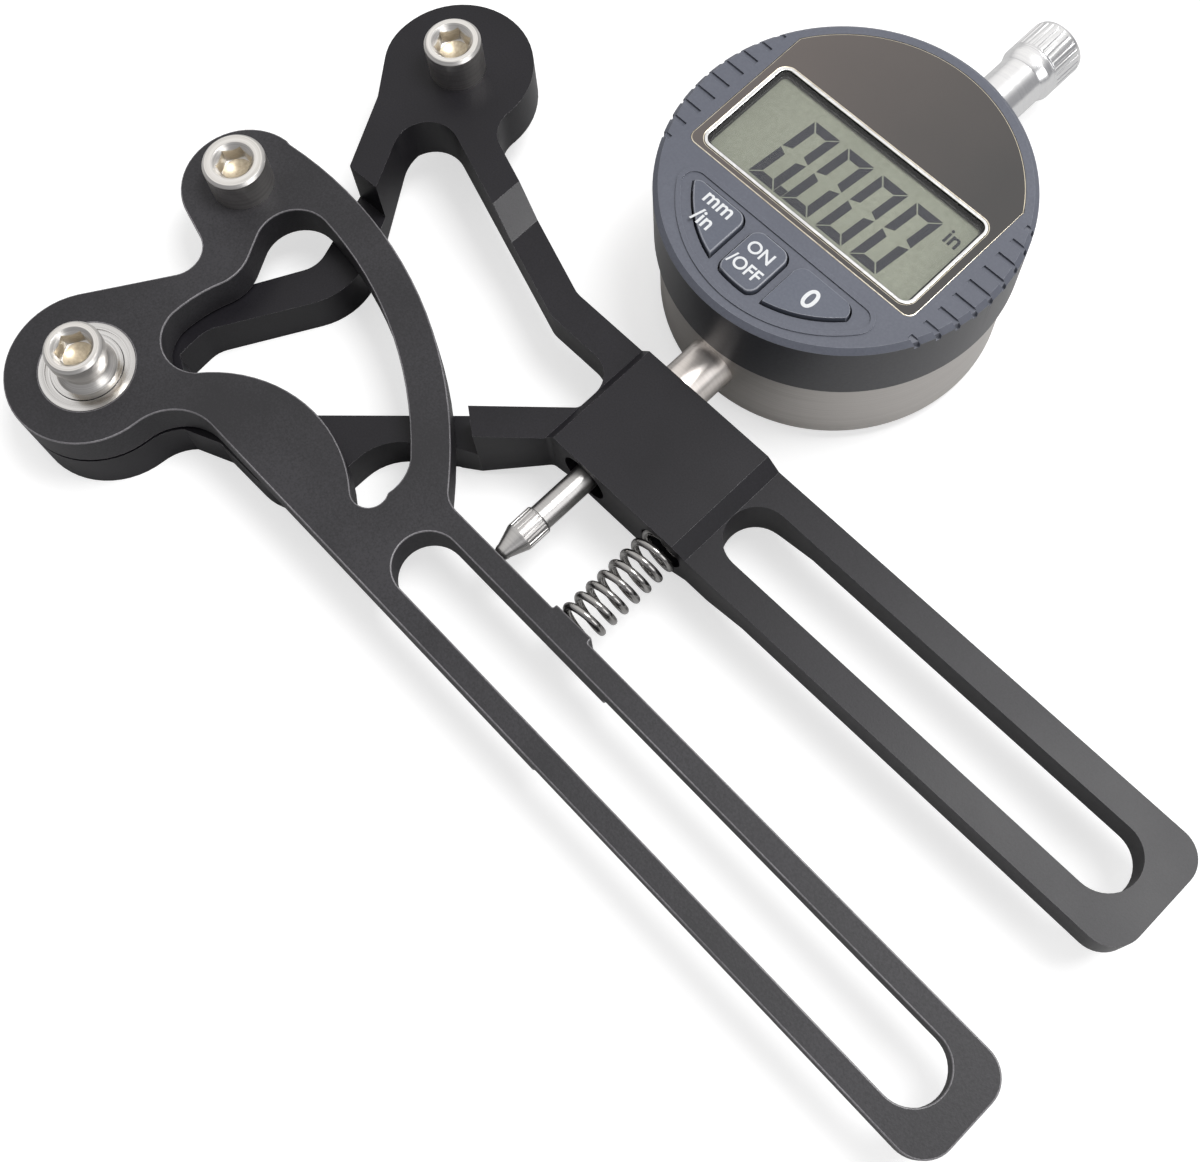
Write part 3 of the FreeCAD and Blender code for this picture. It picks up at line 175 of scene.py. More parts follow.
def make_grain_group():
    """Fine blasted grain under a slow cloud: a mask for colour, one for roughness, and a height."""
    group = bpy.data.node_groups.new("blasted_grain", "ShaderNodeTree")
    group_socket(group, "Grain Scale", "INPUT", "NodeSocketFloat", 4000.0)
    group_socket(group, "Cloud Scale", "INPUT", "NodeSocketFloat", 60.0)
    group_socket(group, "Cloud", "OUTPUT", "NodeSocketFloat")
    group_socket(group, "Grain", "OUTPUT", "NodeSocketFloat")
    start = in_group(group, "NodeGroupInput")
    end = in_group(group, "NodeGroupOutput")
    place = in_group(group, "ShaderNodeTexCoord")
    grain = in_group(group, "ShaderNodeTexNoise")
    grain.inputs["Detail"].default_value = 2.0
    grain.inputs["Roughness"].default_value = 0.6
    cloud = in_group(group, "ShaderNodeTexNoise")
    cloud.inputs["Detail"].default_value = 3.0
    group.links.new(place.outputs["Object"], grain.inputs["Vector"])
    group.links.new(place.outputs["Object"], cloud.inputs["Vector"])
    group.links.new(start.outputs["Grain Scale"], grain.inputs["Scale"])
    group.links.new(start.outputs["Cloud Scale"], cloud.inputs["Scale"])
    group.links.new(grain.outputs["Fac"], end.inputs["Grain"])
    group.links.new(cloud.outputs["Fac"], end.inputs["Cloud"])
    return group


grain_group = make_grain_group()


def blasted_finish(name, dark, light, roughness_low, roughness_high, grain_scale, bump, specular=0.5):
    """A finish with fine grain: the colour drifts from dark to light, and the roughness with it."""
    finish = bpy.data.materials.new(name)
    finish.use_nodes = True
    tree = finish.node_tree
    skin = tree.nodes["Principled BSDF"]
    skin.inputs["Specular IOR Level"].default_value = specular
    grain = tree.nodes.new("ShaderNodeGroup")
    grain.node_tree = grain_group
    grain.inputs["Grain Scale"].default_value = grain_scale
    both = tree.nodes.new("ShaderNodeMath")
    both.operation = "MULTIPLY"
    colors = tree.nodes.new("ShaderNodeValToRGB")
    colors.color_ramp.elements[0].position = 0.15
    colors.color_ramp.elements[0].color = dark
    colors.color_ramp.elements[1].position = 0.40
    colors.color_ramp.elements[1].color = light
    sheen = tree.nodes.new("ShaderNodeMapRange")
    sheen.inputs["To Min"].default_value = roughness_low
    sheen.inputs["To Max"].default_value = roughness_high
    height = tree.nodes.new("ShaderNodeBump")
    height.inputs["Strength"].default_value = bump
    height.inputs["Distance"].default_value = 0.00005
    tree.links.new(grain.outputs["Cloud"], both.inputs[0])
    tree.links.new(grain.outputs["Grain"], both.inputs[1])
    tree.links.new(both.outputs[0], colors.inputs[0])
    tree.links.new(colors.outputs[0], skin.inputs["Base Color"])
    tree.links.new(grain.outputs["Cloud"], sheen.inputs["Value"])
    tree.links.new(sheen.outputs[0], skin.inputs["Roughness"])
    tree.links.new(grain.outputs["Grain"], height.inputs["Height"])
    tree.links.new(height.outputs["Normal"], skin.inputs["Normal"])
    return finish


def select_only(piece):
    """Leaves one piece selected and active."""
    bpy.ops.object.select_all(action="DESELECT")
    piece.select_set(True)
    bpy.context.view_layer.objects.active = piece


def machined_copy(node, name, edge_width, finish, edge_finish=None, crease=corner_crease):
    """A copy of a machined part, its loose triangles joined and its edges over the crease angle broken."""
    piece = bpy.data.objects.new(name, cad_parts[node].data.copy())
    bpy.context.scene.collection.objects.link(piece)
    select_only(piece)
    bpy.ops.object.mode_set(mode="EDIT")
    bpy.ops.mesh.select_all(action="SELECT")
    bpy.ops.mesh.remove_doubles(threshold=merge_gap)
    bpy.ops.mesh.dissolve_limited(angle_limit=flat_angle)
    bpy.ops.object.mode_set(mode="OBJECT")
    piece.data.materials.clear()
    piece.data.materials.append(finish)
    if edge_finish is not None:
        piece.data.materials.append(edge_finish)
    edges = piece.modifiers.new("edges", "BEVEL")
    edges.width = edge_width
    edges.segments = edge_segments
    edges.limit_method = "ANGLE"
    edges.angle_limit = crease
    edges.miter_outer = "MITER_ARC"
    if edge_finish is not None:
        edges.material = 1
    bpy.ops.object.modifier_apply(modifier="edges")
    bpy.ops.object.shade_smooth_by_angle(angle=crease)
    flat_faces = piece.modifiers.new("flat faces", "WEIGHTED_NORMAL")
    flat_faces.keep_sharp = True
    flat_faces.weight = 100
    bpy.ops.object.modifier_apply(modifier="flat faces")
    return piece


def finish_nodes(finish, *names):
    """Gives nodes that are shown as they are built their finish."""
    for name in names:
        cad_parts[name].data.materials.clear()
        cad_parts[name].data.materials.append(finish)


frame_black = blasted_finish(
    "frame_black_anodising", plate_black, plate_black_light, 0.30, 0.42, 3800.0, 0.22, specular=0.27)
# The bevels' colour is real wear, made much lighter than wear alone as a painted highlight.
worn_edge_with_painted_highlight = blasted_finish(
    "worn_black_edge_painted_highlight", (0.110, 0.106, 0.114, 1), edge_grey_highlight, 0.26, 0.40, 3800.0, 0.15)
main_frame = machined_copy(
    "main_frame", "machined_frame", frame_edge_width, frame_black, worn_edge_with_painted_highlight, ramp_crease)
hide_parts("main_frame")
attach(main_frame, "frame")

# Lever
# A second plate of the same aluminium, blasted a little coarser, so that it looks greyer and more
# matt than the frame.

lever_edge_width = 0.00022
lever_black = blasted_finish(
    "lever_black_anodising", (0.023, 0.0222, 0.0248, 1), (0.041, 0.0396, 0.0442, 1), 0.40, 0.54, 3000.0,
    0.40, specular=0.30)
# The lever's bevels take the same worn edge with its painted highlight.
lever_arm = machined_copy("lever_arm", "machined_lever", lever_edge_width, lever_black, worn_edge_with_painted_highlight)
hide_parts("lever_arm")
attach(lever_arm, "lever")


# Posts
# Three turned stainless posts with hexagon sockets. They are bright, with faint turning lines round
# the shank, and the faces of their sockets are painted darker and warmer: painted shade in the hollow
# with a painted warm reflection.

post_edge_width = 0.00012
steel_bright = (0.80, 0.78, 0.75, 1)
steel_dim = (0.62, 0.60, 0.57, 1)
socket_reflection_light = (0.66, 0.58, 0.44, 1)
socket_shade_dim = (0.46, 0.38, 0.27, 1)
socket_reach = 0.0024
rim_depth = 0.0003


def turning_lines_group():
    """Fine lines that run round an axis, on its walls and its end faces: a mask from stretched noise."""
    group = bpy.data.node_groups.new("turning_lines", "ShaderNodeTree")
    group_socket(group, "Center", "INPUT", "NodeSocketVector", (0.0, 0.0, 0.0))
    group_socket(group, "Axis", "INPUT", "NodeSocketVector", (0.0, 0.0, 1.0))
    group_socket(group, "Fineness", "INPUT", "NodeSocketFloat", 6000.0)
    group_socket(group, "Streaks", "INPUT", "NodeSocketFloat", 60.0)
    group_socket(group, "Lines", "OUTPUT", "NodeSocketFloat")
    start = in_group(group, "NodeGroupInput")
    end = in_group(group, "NodeGroupOutput")
    place = in_group(group, "ShaderNodeTexCoord")
    arm = in_group(group, "ShaderNodeVectorMath", operation="SUBTRACT")
    along = in_group(group, "ShaderNodeVectorMath", operation="DOT_PRODUCT")
    rise = in_group(group, "ShaderNodeVectorMath", operation="SCALE")
    outward = in_group(group, "ShaderNodeVectorMath", operation="SUBTRACT")
    radius = in_group(group, "ShaderNodeVectorMath", operation="LENGTH")
    section = in_group(group, "ShaderNodeCombineXYZ")
    fine = in_group(group, "ShaderNodeVectorMath", operation="SCALE")
    slow = in_group(group, "ShaderNodeVectorMath", operation="SCALE")
    both = in_group(group, "ShaderNodeVectorMath", operation="ADD")
    lines = in_group(group, "ShaderNodeTexNoise")
    lines.inputs["Scale"].default_value = 1.0
    lines.inputs["Detail"].default_value = 2.0
    group.links.new(place.outputs["Object"], arm.inputs[0])
    group.links.new(start.outputs["Center"], arm.inputs[1])
    group.links.new(arm.outputs[0], along.inputs[0])
    group.links.new(start.outputs["Axis"], along.inputs[1])
    group.links.new(start.outputs["Axis"], rise.inputs[0])
    group.links.new(along.outputs["Value"], rise.inputs["Scale"])
    group.links.new(arm.outputs[0], outward.inputs[0])
    group.links.new(rise.outputs[0], outward.inputs[1])
    group.links.new(outward.outputs[0], radius.inputs[0])
    group.links.new(radius.outputs["Value"], section.inputs["X"])
    group.links.new(along.outputs["Value"], section.inputs["Y"])
    group.links.new(section.outputs[0], fine.inputs[0])
    group.links.new(start.outputs["Fineness"], fine.inputs["Scale"])
    group.links.new(arm.outputs[0], slow.inputs[0])
    group.links.new(start.outputs["Streaks"], slow.inputs["Scale"])
    group.links.new(fine.outputs[0], both.inputs[0])
    group.links.new(slow.outputs[0], both.inputs[1])
    group.links.new(both.outputs[0], lines.inputs["Vector"])
    group.links.new(lines.outputs["Fac"], end.inputs["Lines"])
    return group


lines_group = turning_lines_group()


def turned_metal(name, dim, bright, roughness, fineness, bump, center=(0, 0, 0), axis=(0, 0, 1)):
    """Bare metal with fine machining lines round its axis. Roughness is its low and high value."""
    finish = bpy.data.materials.new(name)
    finish.use_nodes = True
    tree = finish.node_tree
    skin = tree.nodes["Principled BSDF"]
    skin.inputs["Metallic"].default_value = 1.0
    lines = tree.nodes.new("ShaderNodeGroup")
    lines.node_tree = lines_group
    lines.inputs["Center"].default_value = center
    lines.inputs["Axis"].default_value = axis
    lines.inputs["Fineness"].default_value = fineness
    colors = tree.nodes.new("ShaderNodeValToRGB")
    colors.color_ramp.elements[0].position = 0.30
    colors.color_ramp.elements[0].color = dim
    colors.color_ramp.elements[1].position = 0.65
    colors.color_ramp.elements[1].color = bright
    sheen = tree.nodes.new("ShaderNodeMapRange")
    sheen.inputs["To Min"].default_value, sheen.inputs["To Max"].default_value = roughness
    height = tree.nodes.new("ShaderNodeBump")
    height.inputs["Strength"].default_value = bump
    height.inputs["Distance"].default_value = 0.00001
    tree.links.new(lines.outputs["Lines"], colors.inputs[0])
    tree.links.new(colors.outputs[0], skin.inputs["Base Color"])
    tree.links.new(lines.outputs["Lines"], sheen.inputs["Value"])
    tree.links.new(sheen.outputs[0], skin.inputs["Roughness"])
    tree.links.new(lines.outputs["Lines"], height.inputs["Height"])
    tree.links.new(height.outputs["Normal"], skin.inputs["Normal"])
    return finish


for node, name, body in (
        ("frame_post", "frame_post_turned", "frame"),
        ("pivot_post", "pivot_post_turned", "frame"),
        ("lever_post", "lever_post_turned", "lever")):
    low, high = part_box(node)
    middle = (low + high) / 2
    post_steel = turned_metal(
        node + "_stainless", steel_dim, steel_bright, (0.28, 0.40), 6000.0, 0.12, center=middle)
    # Painted shade and warm reflection for the socket faces: darker and golder than the post's own steel.
    socket_painted_shade_and_reflection = blasted_finish(
        node + "_socket", socket_shade_dim, socket_reflection_light, 0.34, 0.44, 2000.0, 0.1)
    socket_painted_shade_and_reflection.node_tree.nodes["Principled BSDF"].inputs["Metallic"].default_value = 1.0
    post = machined_copy(node, name, post_edge_width, post_steel)
    post.data.materials.append(socket_painted_shade_and_reflection)
    for face in post.data.polygons:
        arm = face.center - middle
        if arm.xy.length < socket_reach and face.center.z < high.z - rim_depth:
            face.material_index = 1
    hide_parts(node)
    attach(post, body)

# Bearing
# A small ball bearing pressed into the lever's boss: ground rings, a thin pressed shield and the
# spacer under the inner ring.

ring_steel = turned_metal(
    "bearing_ring_steel", (0.52, 0.51, 0.50, 1), (0.72, 0.71, 0.70, 1), (0.18, 0.30), 4000.0, 0.15)
finish_nodes(
    ring_steel, "bearing_inner_ring", "bearing_outer_ring", "bearing_balls", "bearing_shield",
    "pivot_spacer")

# Return spring
# One length of bright hard-drawn wire, wound in open coils. It stands on the lever's seat and enters
# the block's pocket.

spring_axis_x = 0.0818
spring_axis_z = 0.0108
spring_start_y = 0.02457
spring_end_y = 0.04850
spring_coil_radius = 0.00302
spring_wire_radius = 0.00058
spring_wire_sides = 16
spring_merge_gap = 0.000001
spring_turns = 10.5
spring_steps = 504
spring_end_turn = math.radians(80)
spring_wire = turned_metal(
    "spring_wire", (0.34, 0.33, 0.32, 1), (0.46, 0.45, 0.44, 1), (0.16, 0.24), 5000.0, 0.05,
    center=(spring_axis_x, 0, spring_axis_z), axis=(0, 1, 0))
bpy.ops.object.select_all(action="DESELECT")
bpy.ops.mesh.primitive_circle_add(
    vertices=spring_wire_sides, radius=spring_wire_radius, location=(spring_coil_radius, 0, 0),
    rotation=(math.pi / 2, 0, 0))
spring = bpy.context.object
spring.name = "return_spring_coil"
bpy.ops.object.transform_apply(location=True, rotation=True, scale=True)
winding = spring.modifiers.new("winding", "SCREW")
winding.axis = "Z"
winding.angle = 2 * math.pi * spring_turns
winding.iterations = 1
winding.steps = spring_steps
winding.render_steps = spring_steps
winding.screw_offset = spring_end_y - spring_start_y
bpy.ops.object.modifier_apply(modifier="winding")
bpy.ops.object.mode_set(mode="EDIT")
bpy.ops.mesh.select_all(action="SELECT")
bpy.ops.mesh.remove_doubles(threshold=spring_merge_gap)
bpy.ops.mesh.select_all(action="DESELECT")
bpy.ops.mesh.select_non_manifold(extend=False)
bpy.ops.mesh.fill()
bpy.ops.mesh.select_all(action="SELECT")
bpy.ops.mesh.normals_make_consistent(inside=False)
bpy.ops.object.mode_set(mode="OBJECT")
spring.data.transform(
    Matrix.Translation((spring_axis_x, spring_start_y, spring_axis_z)) @ Matrix.Rotation(-math.pi / 2, 4, "X")
    @ Matrix.Rotation(spring_end_turn, 4, "Z"))
bpy.ops.object.shade_smooth()
spring.data.materials.append(spring_wire)
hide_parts("return_spring")
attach(spring, "frame")
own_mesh(spring)

# Stem, clamp screw and bushes
# The gauge's plain steel stem, held in the block by a small grub screw, with a bronze bush pressed
# into each end of the spindle's way.

gauge_axis = (0.066, 0.0944, 0.0108)
stem_steel = turned_metal(
    "stem_steel", (0.74, 0.69, 0.65, 1), (0.82, 0.77, 0.73, 1), (0.26, 0.34), 6000.0, 0.02,
    center=gauge_axis, axis=(0, 1, 0))
bush_bronze = turned_metal(
    "bush_bronze", (0.40, 0.24, 0.10, 1), (0.62, 0.42, 0.20, 1), (0.25, 0.40), 5000.0, 0.2,
    center=gauge_axis, axis=(0, 1, 0))
screw_steel = turned_metal(
    "screw_steel", (0.30, 0.30, 0.30, 1), (0.55, 0.54, 0.53, 1), (0.22, 0.36), 3000.0, 0.2, center=gauge_axis)

finish_nodes(stem_steel, "gauge_stem")
finish_nodes(bush_bronze, "lower_bush", "upper_bush")
finish_nodes(screw_steel, "stem_clamp_screw", "back_screws")

# Gauge case
# A cup of nickel-plated steel, brushed round its wall, with a back held by four screws and the bright
# hub on which the bezel turns.

case_edge_width = 0.0003
case_nickel = turned_metal(
    "brushed_case_nickel", (0.54, 0.515, 0.49, 1), (0.62, 0.595, 0.57, 1), (0.34, 0.46), 5000.0, 0.1,
    center=gauge_axis)
hub_ring_steel = turned_metal(
    "hub_ring_steel", (0.62, 0.61, 0.60, 1), (0.82, 0.81, 0.80, 1), (0.14, 0.24), 4000.0, 0.1,
    center=gauge_axis)
gauge_case = machined_copy("gauge_case", "brushed_case", case_edge_width, case_nickel, hub_ring_steel)
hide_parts("gauge_case")
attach(gauge_case, "frame")
finish_nodes(case_nickel, "case_back")
finish_nodes(hub_ring_steel, "turning_ring")

# Upper tube and dust cap
# Chromed brass. The cap has a plain spigot, a flare and a collar, and then a grip with straight
# flutes and a rounded end.

cap_axis_x = gauge_axis[0]
cap_axis_z = gauge_axis[2]
cap_sides = 56
cap_profile = (
    (0.00328, 0.1355),
    (0.00328, 0.1375),
    (0.00405, 0.1375),
    (0.00420, 0.1376),
    (0.00478, 0.1390),
    (0.00480, 0.1392),
    (0.00480, 0.1402),
    (0.00462, 0.1404),
    (0.00462, 0.1406),
    (0.00480, 0.1408),
    (0.00480, 0.1460),
    (0.00462, 0.1466),
    (0.00420, 0.1469),
    (0.00360, 0.1470),
)
cap_grip_low = 0.1407
cap_grip_high = 0.1461
cap_flute_inset = 0.00010
cap_flute_depth = 0.00013
cap_edge_width = 0.00006
turned_crease = math.radians(25)
chrome_plate = turned_metal(
    "chrome_plate", (0.84, 0.84, 0.85, 1), (0.89, 0.89, 0.89, 1), (0.20, 0.27), 3000.0, 0.03,
    center=gauge_axis, axis=(0, 1, 0))


def turned_bar(name, profile, sides, axis_x, axis_z):
    """A bar turned about a level axis: a disc, extruded and scaled from step to step of its profile."""
    bpy.ops.object.select_all(action="DESELECT")
    first_radius = profile[0][0]
    bpy.ops.mesh.primitive_circle_add(vertices=sides, radius=first_radius, fill_type="NGON")
    bar = bpy.context.object
    bar.name = name
    bpy.ops.object.mode_set(mode="EDIT")
    bpy.ops.mesh.select_mode(type="FACE")
    bpy.ops.mesh.select_all(action="SELECT")
    for (radius, level), (next_radius, next_level) in zip(profile, profile[1:]):
        growth = next_radius / radius
        bpy.ops.mesh.extrude_region_move(TRANSFORM_OT_translate={"value": (0, 0, next_level - level)})
        bpy.ops.transform.resize(
            value=(growth, growth, 1), center_override=(0, 0, next_level - profile[0][1]))
    bpy.ops.mesh.select_all(action="SELECT")
    bpy.ops.mesh.normals_make_consistent(inside=False)
    bpy.ops.object.mode_set(mode="OBJECT")
    bar.data.transform(
        Matrix.Translation((axis_x, profile[0][1], axis_z)) @ Matrix.Rotation(-math.pi / 2, 4, "X"))
    return bar


def cut_flutes(bar, low, high, axis_x, axis_z, sides, inset, depth):
    """Straight flutes round a bar: every second side face between two levels is drawn in and sunk."""
    select_only(bar)
    bpy.ops.object.mode_set(mode="EDIT")
    bpy.ops.mesh.select_all(action="DESELECT")
    shape = bmesh.from_edit_mesh(bar.data)
    for face in shape.faces:
        middle = face.calc_center_median()
        turn = math.atan2(middle.z - axis_z, middle.x - axis_x) * sides / (2 * math.pi)
        if low < middle.y < high and abs(face.normal.y) < 0.1 and math.floor(turn) % 2 == 0:
            face.select_set(True)
    bmesh.update_edit_mesh(bar.data)
    bpy.ops.mesh.inset(thickness=inset, depth=-depth, use_individual=True)
    bpy.ops.object.mode_set(mode="OBJECT")


def soften_edges(piece, width, angle):
    """Rounds a piece's sharp edges and smooths what lies between them."""
    select_only(piece)
    edges = piece.modifiers.new("edges", "BEVEL")
    edges.width = width
    edges.segments = edge_segments
    edges.limit_method = "ANGLE"
    edges.angle_limit = angle
    bpy.ops.object.modifier_apply(modifier="edges")
    bpy.ops.object.shade_smooth_by_angle(angle=angle)


dust_cap = turned_bar("fluted_dust_cap", cap_profile, cap_sides, cap_axis_x, cap_axis_z)
cut_flutes(
    dust_cap, cap_grip_low, cap_grip_high, cap_axis_x, cap_axis_z, cap_sides, cap_flute_inset,
    cap_flute_depth)
soften_edges(dust_cap, cap_edge_width, turned_crease)
dust_cap.data.materials.append(chrome_plate)
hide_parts("dust_cap")
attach(dust_cap, "frame")
finish_nodes(chrome_plate, "upper_tube")

# Spindle and contact point
# The ground steel spindle and, screwed into it, the hardened contact point: a fluted band to turn it
# by, a cone and a small round tip.

contact_sides = 40
contact_profile = (
    (0.00040, 0.02364),
    (0.00080, 0.02380),
    (0.00110, 0.02412),
    (0.00126, 0.02450),
    (0.00130, 0.02493),
    (0.00236, 0.02780),
    (0.00240, 0.02800),
    (0.00240, 0.03170),
    (0.00228, 0.03195),
    (0.00205, 0.03203),
    (0.00118, 0.03203),
    (0.00118, 0.03600),
)
contact_flute_low = 0.0279
contact_flute_high = 0.0318
contact_flute_inset = 0.00005
contact_flute_depth = 0.00012
contact_edge_width = 0.00004
spindle_steel = turned_metal(
    "spindle_steel", (0.46, 0.45, 0.44, 1), (0.52, 0.51, 0.50, 1), (0.30, 0.36), 5000.0, 0.02,
    center=gauge_axis, axis=(0, 1, 0))
contact_point = turned_bar("fluted_contact_point", contact_profile, contact_sides, cap_axis_x, cap_axis_z)
cut_flutes(
    contact_point, contact_flute_low, contact_flute_high, cap_axis_x, cap_axis_z, contact_sides,
    contact_flute_inset, contact_flute_depth)
soften_edges(contact_point, contact_edge_width, turned_crease)
contact_point.data.materials.append(spindle_steel)
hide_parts("contact_point")
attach(contact_point, "spindle_rod")
finish_nodes(spindle_steel, "spindle", "guide_pin", "guide_rail", "spindle_spring")

# Scale and sensor
# Inside the case, a printed glass-fibre scale rides on the spindle and a green board reads it.

board_green = blasted_finish(
    "board_lacquer", (0.010, 0.075, 0.030, 1), (0.020, 0.120, 0.050, 1), 0.25, 0.40, 1500.0, 0.1)
finish_nodes(board_green, "scale_strip", "sensor_board", "circuit_board")

# Bezel
# The display's housing, moulded in grey-blue plastic: a round cover with finger ribs on both sides, a
# raised crescent round the buttons and a battery door in its wall. The wall is painted dark grey below
# its top edge as painted shade, where little light falls, and every edge of the mould carries a thin
# lighter line of painted highlight.

bezel_edge_width = 0.00025
bezel_wall_inset = 0.0002
bezel_wall_drop = 0.0017
bezel_plastic = blasted_finish(
    "bezel_plastic", (0.118, 0.126, 0.156, 1), (0.140, 0.149, 0.182, 1), 0.42, 0.56, 2500.0, 0.12,
    specular=0.35)
# Painted highlight: the mould's edges are coloured lighter than the plastic itself.
bezel_edge_painted_highlight = blasted_finish(
    "bezel_edge_painted_highlight", (0.220, 0.230, 0.265, 1), (0.270, 0.282, 0.320, 1), 0.34, 0.44, 2500.0, 0.05)
bezel_wall_painted_shade = blasted_finish(
    "painted_shade_bezel_wall", (0.034, 0.035, 0.041, 1), (0.050, 0.052, 0.060, 1), 0.30, 0.40, 2500.0, 0.08,
    specular=0.6)
gauge_bezel = machined_copy("gauge_bezel", "moulded_bezel", bezel_edge_width, bezel_plastic, bezel_edge_painted_highlight)
gauge_bezel.data.materials.append(bezel_wall_painted_shade)
bezel_low, bezel_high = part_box("gauge_bezel")
bezel_middle = (bezel_low + bezel_high) / 2
bezel_wall_radius = (bezel_high.x - bezel_low.x) / 2 - bezel_wall_inset
# Wall faces below the top edge take the painted shade.
for face in gauge_bezel.data.polygons:
    arm = face.center - bezel_middle
    if arm.xy.length > bezel_wall_radius and face.center.z < bezel_high.z - bezel_wall_drop:
        face.material_index = 2
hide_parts("gauge_bezel")
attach(gauge_bezel, "bezel")
# The base and the battery door in the wall take the same painted shade.
finish_nodes(bezel_wall_painted_shade, "bezel_base", "battery_door")

# Display plate and window frame
# A dark plate like black glass, painted lighter and browner at its left as a painted reflection, with a pale
# gold line round its edge, and a bright silver frame that stands a little proud round the window.
# Inside, the frame's walls are painted near-black as painted shade.

plate_edge_width = 0.00050
painted_sheen_reach = 0.024
frame_wall_drop = 0.00025
frame_rim_width = 0.0001
plate_gloss = bpy.data.materials.new("black_gloss_plate")
plate_gloss.use_nodes = True
tree = plate_gloss.node_tree
gloss = tree.nodes["Principled BSDF"]
gloss.inputs["IOR"].default_value = 1.75
gloss.inputs["Coat Weight"].default_value = 0.4
gloss.inputs["Coat Roughness"].default_value = 0.02
smears = tree.nodes.new("ShaderNodeGroup")
smears.node_tree = grain_group
smears.inputs["Cloud Scale"].default_value = 90.0
plate_tint_with_sheen = tree.nodes.new("ShaderNodeValToRGB")
plate_tint_with_sheen.color_ramp.elements[0].color = (0.088, 0.067, 0.058, 1)
plate_tint_with_sheen.color_ramp.elements[1].color = (0.016, 0.013, 0.012, 1)
plate_place = tree.nodes.new("ShaderNodeTexCoord")
across = tree.nodes.new("ShaderNodeSeparateXYZ")
# Painted reflection: the plate's colour runs from lighter brown at its left to dark at its right, mixed with
# random smears.
shade = tree.nodes.new("ShaderNodeMapRange")
shade.inputs["From Min"].default_value = gauge_axis[0] - painted_sheen_reach
shade.inputs["From Max"].default_value = gauge_axis[0] + painted_sheen_reach
smears_and_painted_sheen = tree.nodes.new("ShaderNodeMath")
smears_and_painted_sheen.operation = "MULTIPLY_ADD"
smears_and_painted_sheen.inputs[1].default_value = 0.25
wipe = tree.nodes.new("ShaderNodeMapRange")
wipe.inputs["To Min"].default_value = 0.04
wipe.inputs["To Max"].default_value = 0.14
tree.links.new(plate_place.outputs["Object"], across.inputs[0])
tree.links.new(across.outputs["X"], shade.inputs["Value"])
tree.links.new(smears.outputs["Cloud"], smears_and_painted_sheen.inputs[0])
tree.links.new(shade.outputs[0], smears_and_painted_sheen.inputs[2])
tree.links.new(smears_and_painted_sheen.outputs[0], plate_tint_with_sheen.inputs[0])
tree.links.new(plate_tint_with_sheen.outputs[0], gloss.inputs["Base Color"])
tree.links.new(smears.outputs["Cloud"], wipe.inputs["Value"])
tree.links.new(wipe.outputs[0], gloss.inputs["Roughness"])
gold_line = turned_metal(
    "pale_gold_line", (0.62, 0.55, 0.42, 1), (0.80, 0.74, 0.62, 1), (0.25, 0.35), 2000.0, 0.05,
    center=gauge_axis)
frame_silver = turned_metal(
    "window_frame_silver", (0.74, 0.74, 0.74, 1), (0.90, 0.90, 0.90, 1), (0.18, 0.28), 2000.0, 0.05,
    center=gauge_axis)
display_plate = machined_copy(
    "display_plate", "glossy_display_plate", plate_edge_width, plate_gloss, gold_line)
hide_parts("display_plate")
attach(display_plate, "bezel")
# Painted shade: the frame's inner walls, below its rim, are made near-black where they lie in shade.
frame_wall_painted_shade = blasted_finish(
    "window_frame_painted_shade", (0.010, 0.010, 0.010, 1), (0.016, 0.016, 0.016, 1), 0.6, 0.7, 2000.0, 0.05,
    specular=0.1)
window_frame = machined_copy("window_frame", "bright_window_frame", frame_rim_width, frame_silver)
window_frame.data.materials.append(frame_wall_painted_shade)
rim_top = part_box("window_frame")[1].z
for face in window_frame.data.polygons:
    if face.center.z < rim_top - frame_wall_drop:
        face.material_index = 1
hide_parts("window_frame")
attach(window_frame, "bezel")

# Window
# A flat clear sheet set just below the rim of its frame. It throws no shadow of its own on the
# display.

clear_glass = bpy.data.materials.new("clear_window")
clear_glass.use_nodes = True
tree = clear_glass.node_tree
glass = tree.nodes["Principled BSDF"]
glass.inputs["Base Color"].default_value = (0.97, 0.98, 0.97, 1)
glass.inputs["Roughness"].default_value = 0.02
glass.inputs["IOR"].default_value = 1.45
glass.inputs["Transmission Weight"].default_value = 1.0
open_way = tree.nodes.new("ShaderNodeBsdfTransparent")
rays = tree.nodes.new("ShaderNodeLightPath")
mixed = tree.nodes.new("ShaderNodeMixShader")
unseen = tree.nodes.new("ShaderNodeMath")
unseen.operation = "MAXIMUM"
tree.links.new(rays.outputs["Is Shadow Ray"], unseen.inputs[0])
tree.links.new(rays.outputs["Is Diffuse Ray"], unseen.inputs[1])
tree.links.new(unseen.outputs[0], mixed.inputs[0])
tree.links.new(glass.outputs[0], mixed.inputs[1])
tree.links.new(open_way.outputs[0], mixed.inputs[2])
tree.links.new(mixed.outputs[0], tree.nodes["Material Output"].inputs["Surface"])
finish_nodes(clear_glass, "display_window")

# Display panel
# The liquid crystal cell, grey-green and a little uneven, with its four slanted figures, the point
# and the small unit mark.

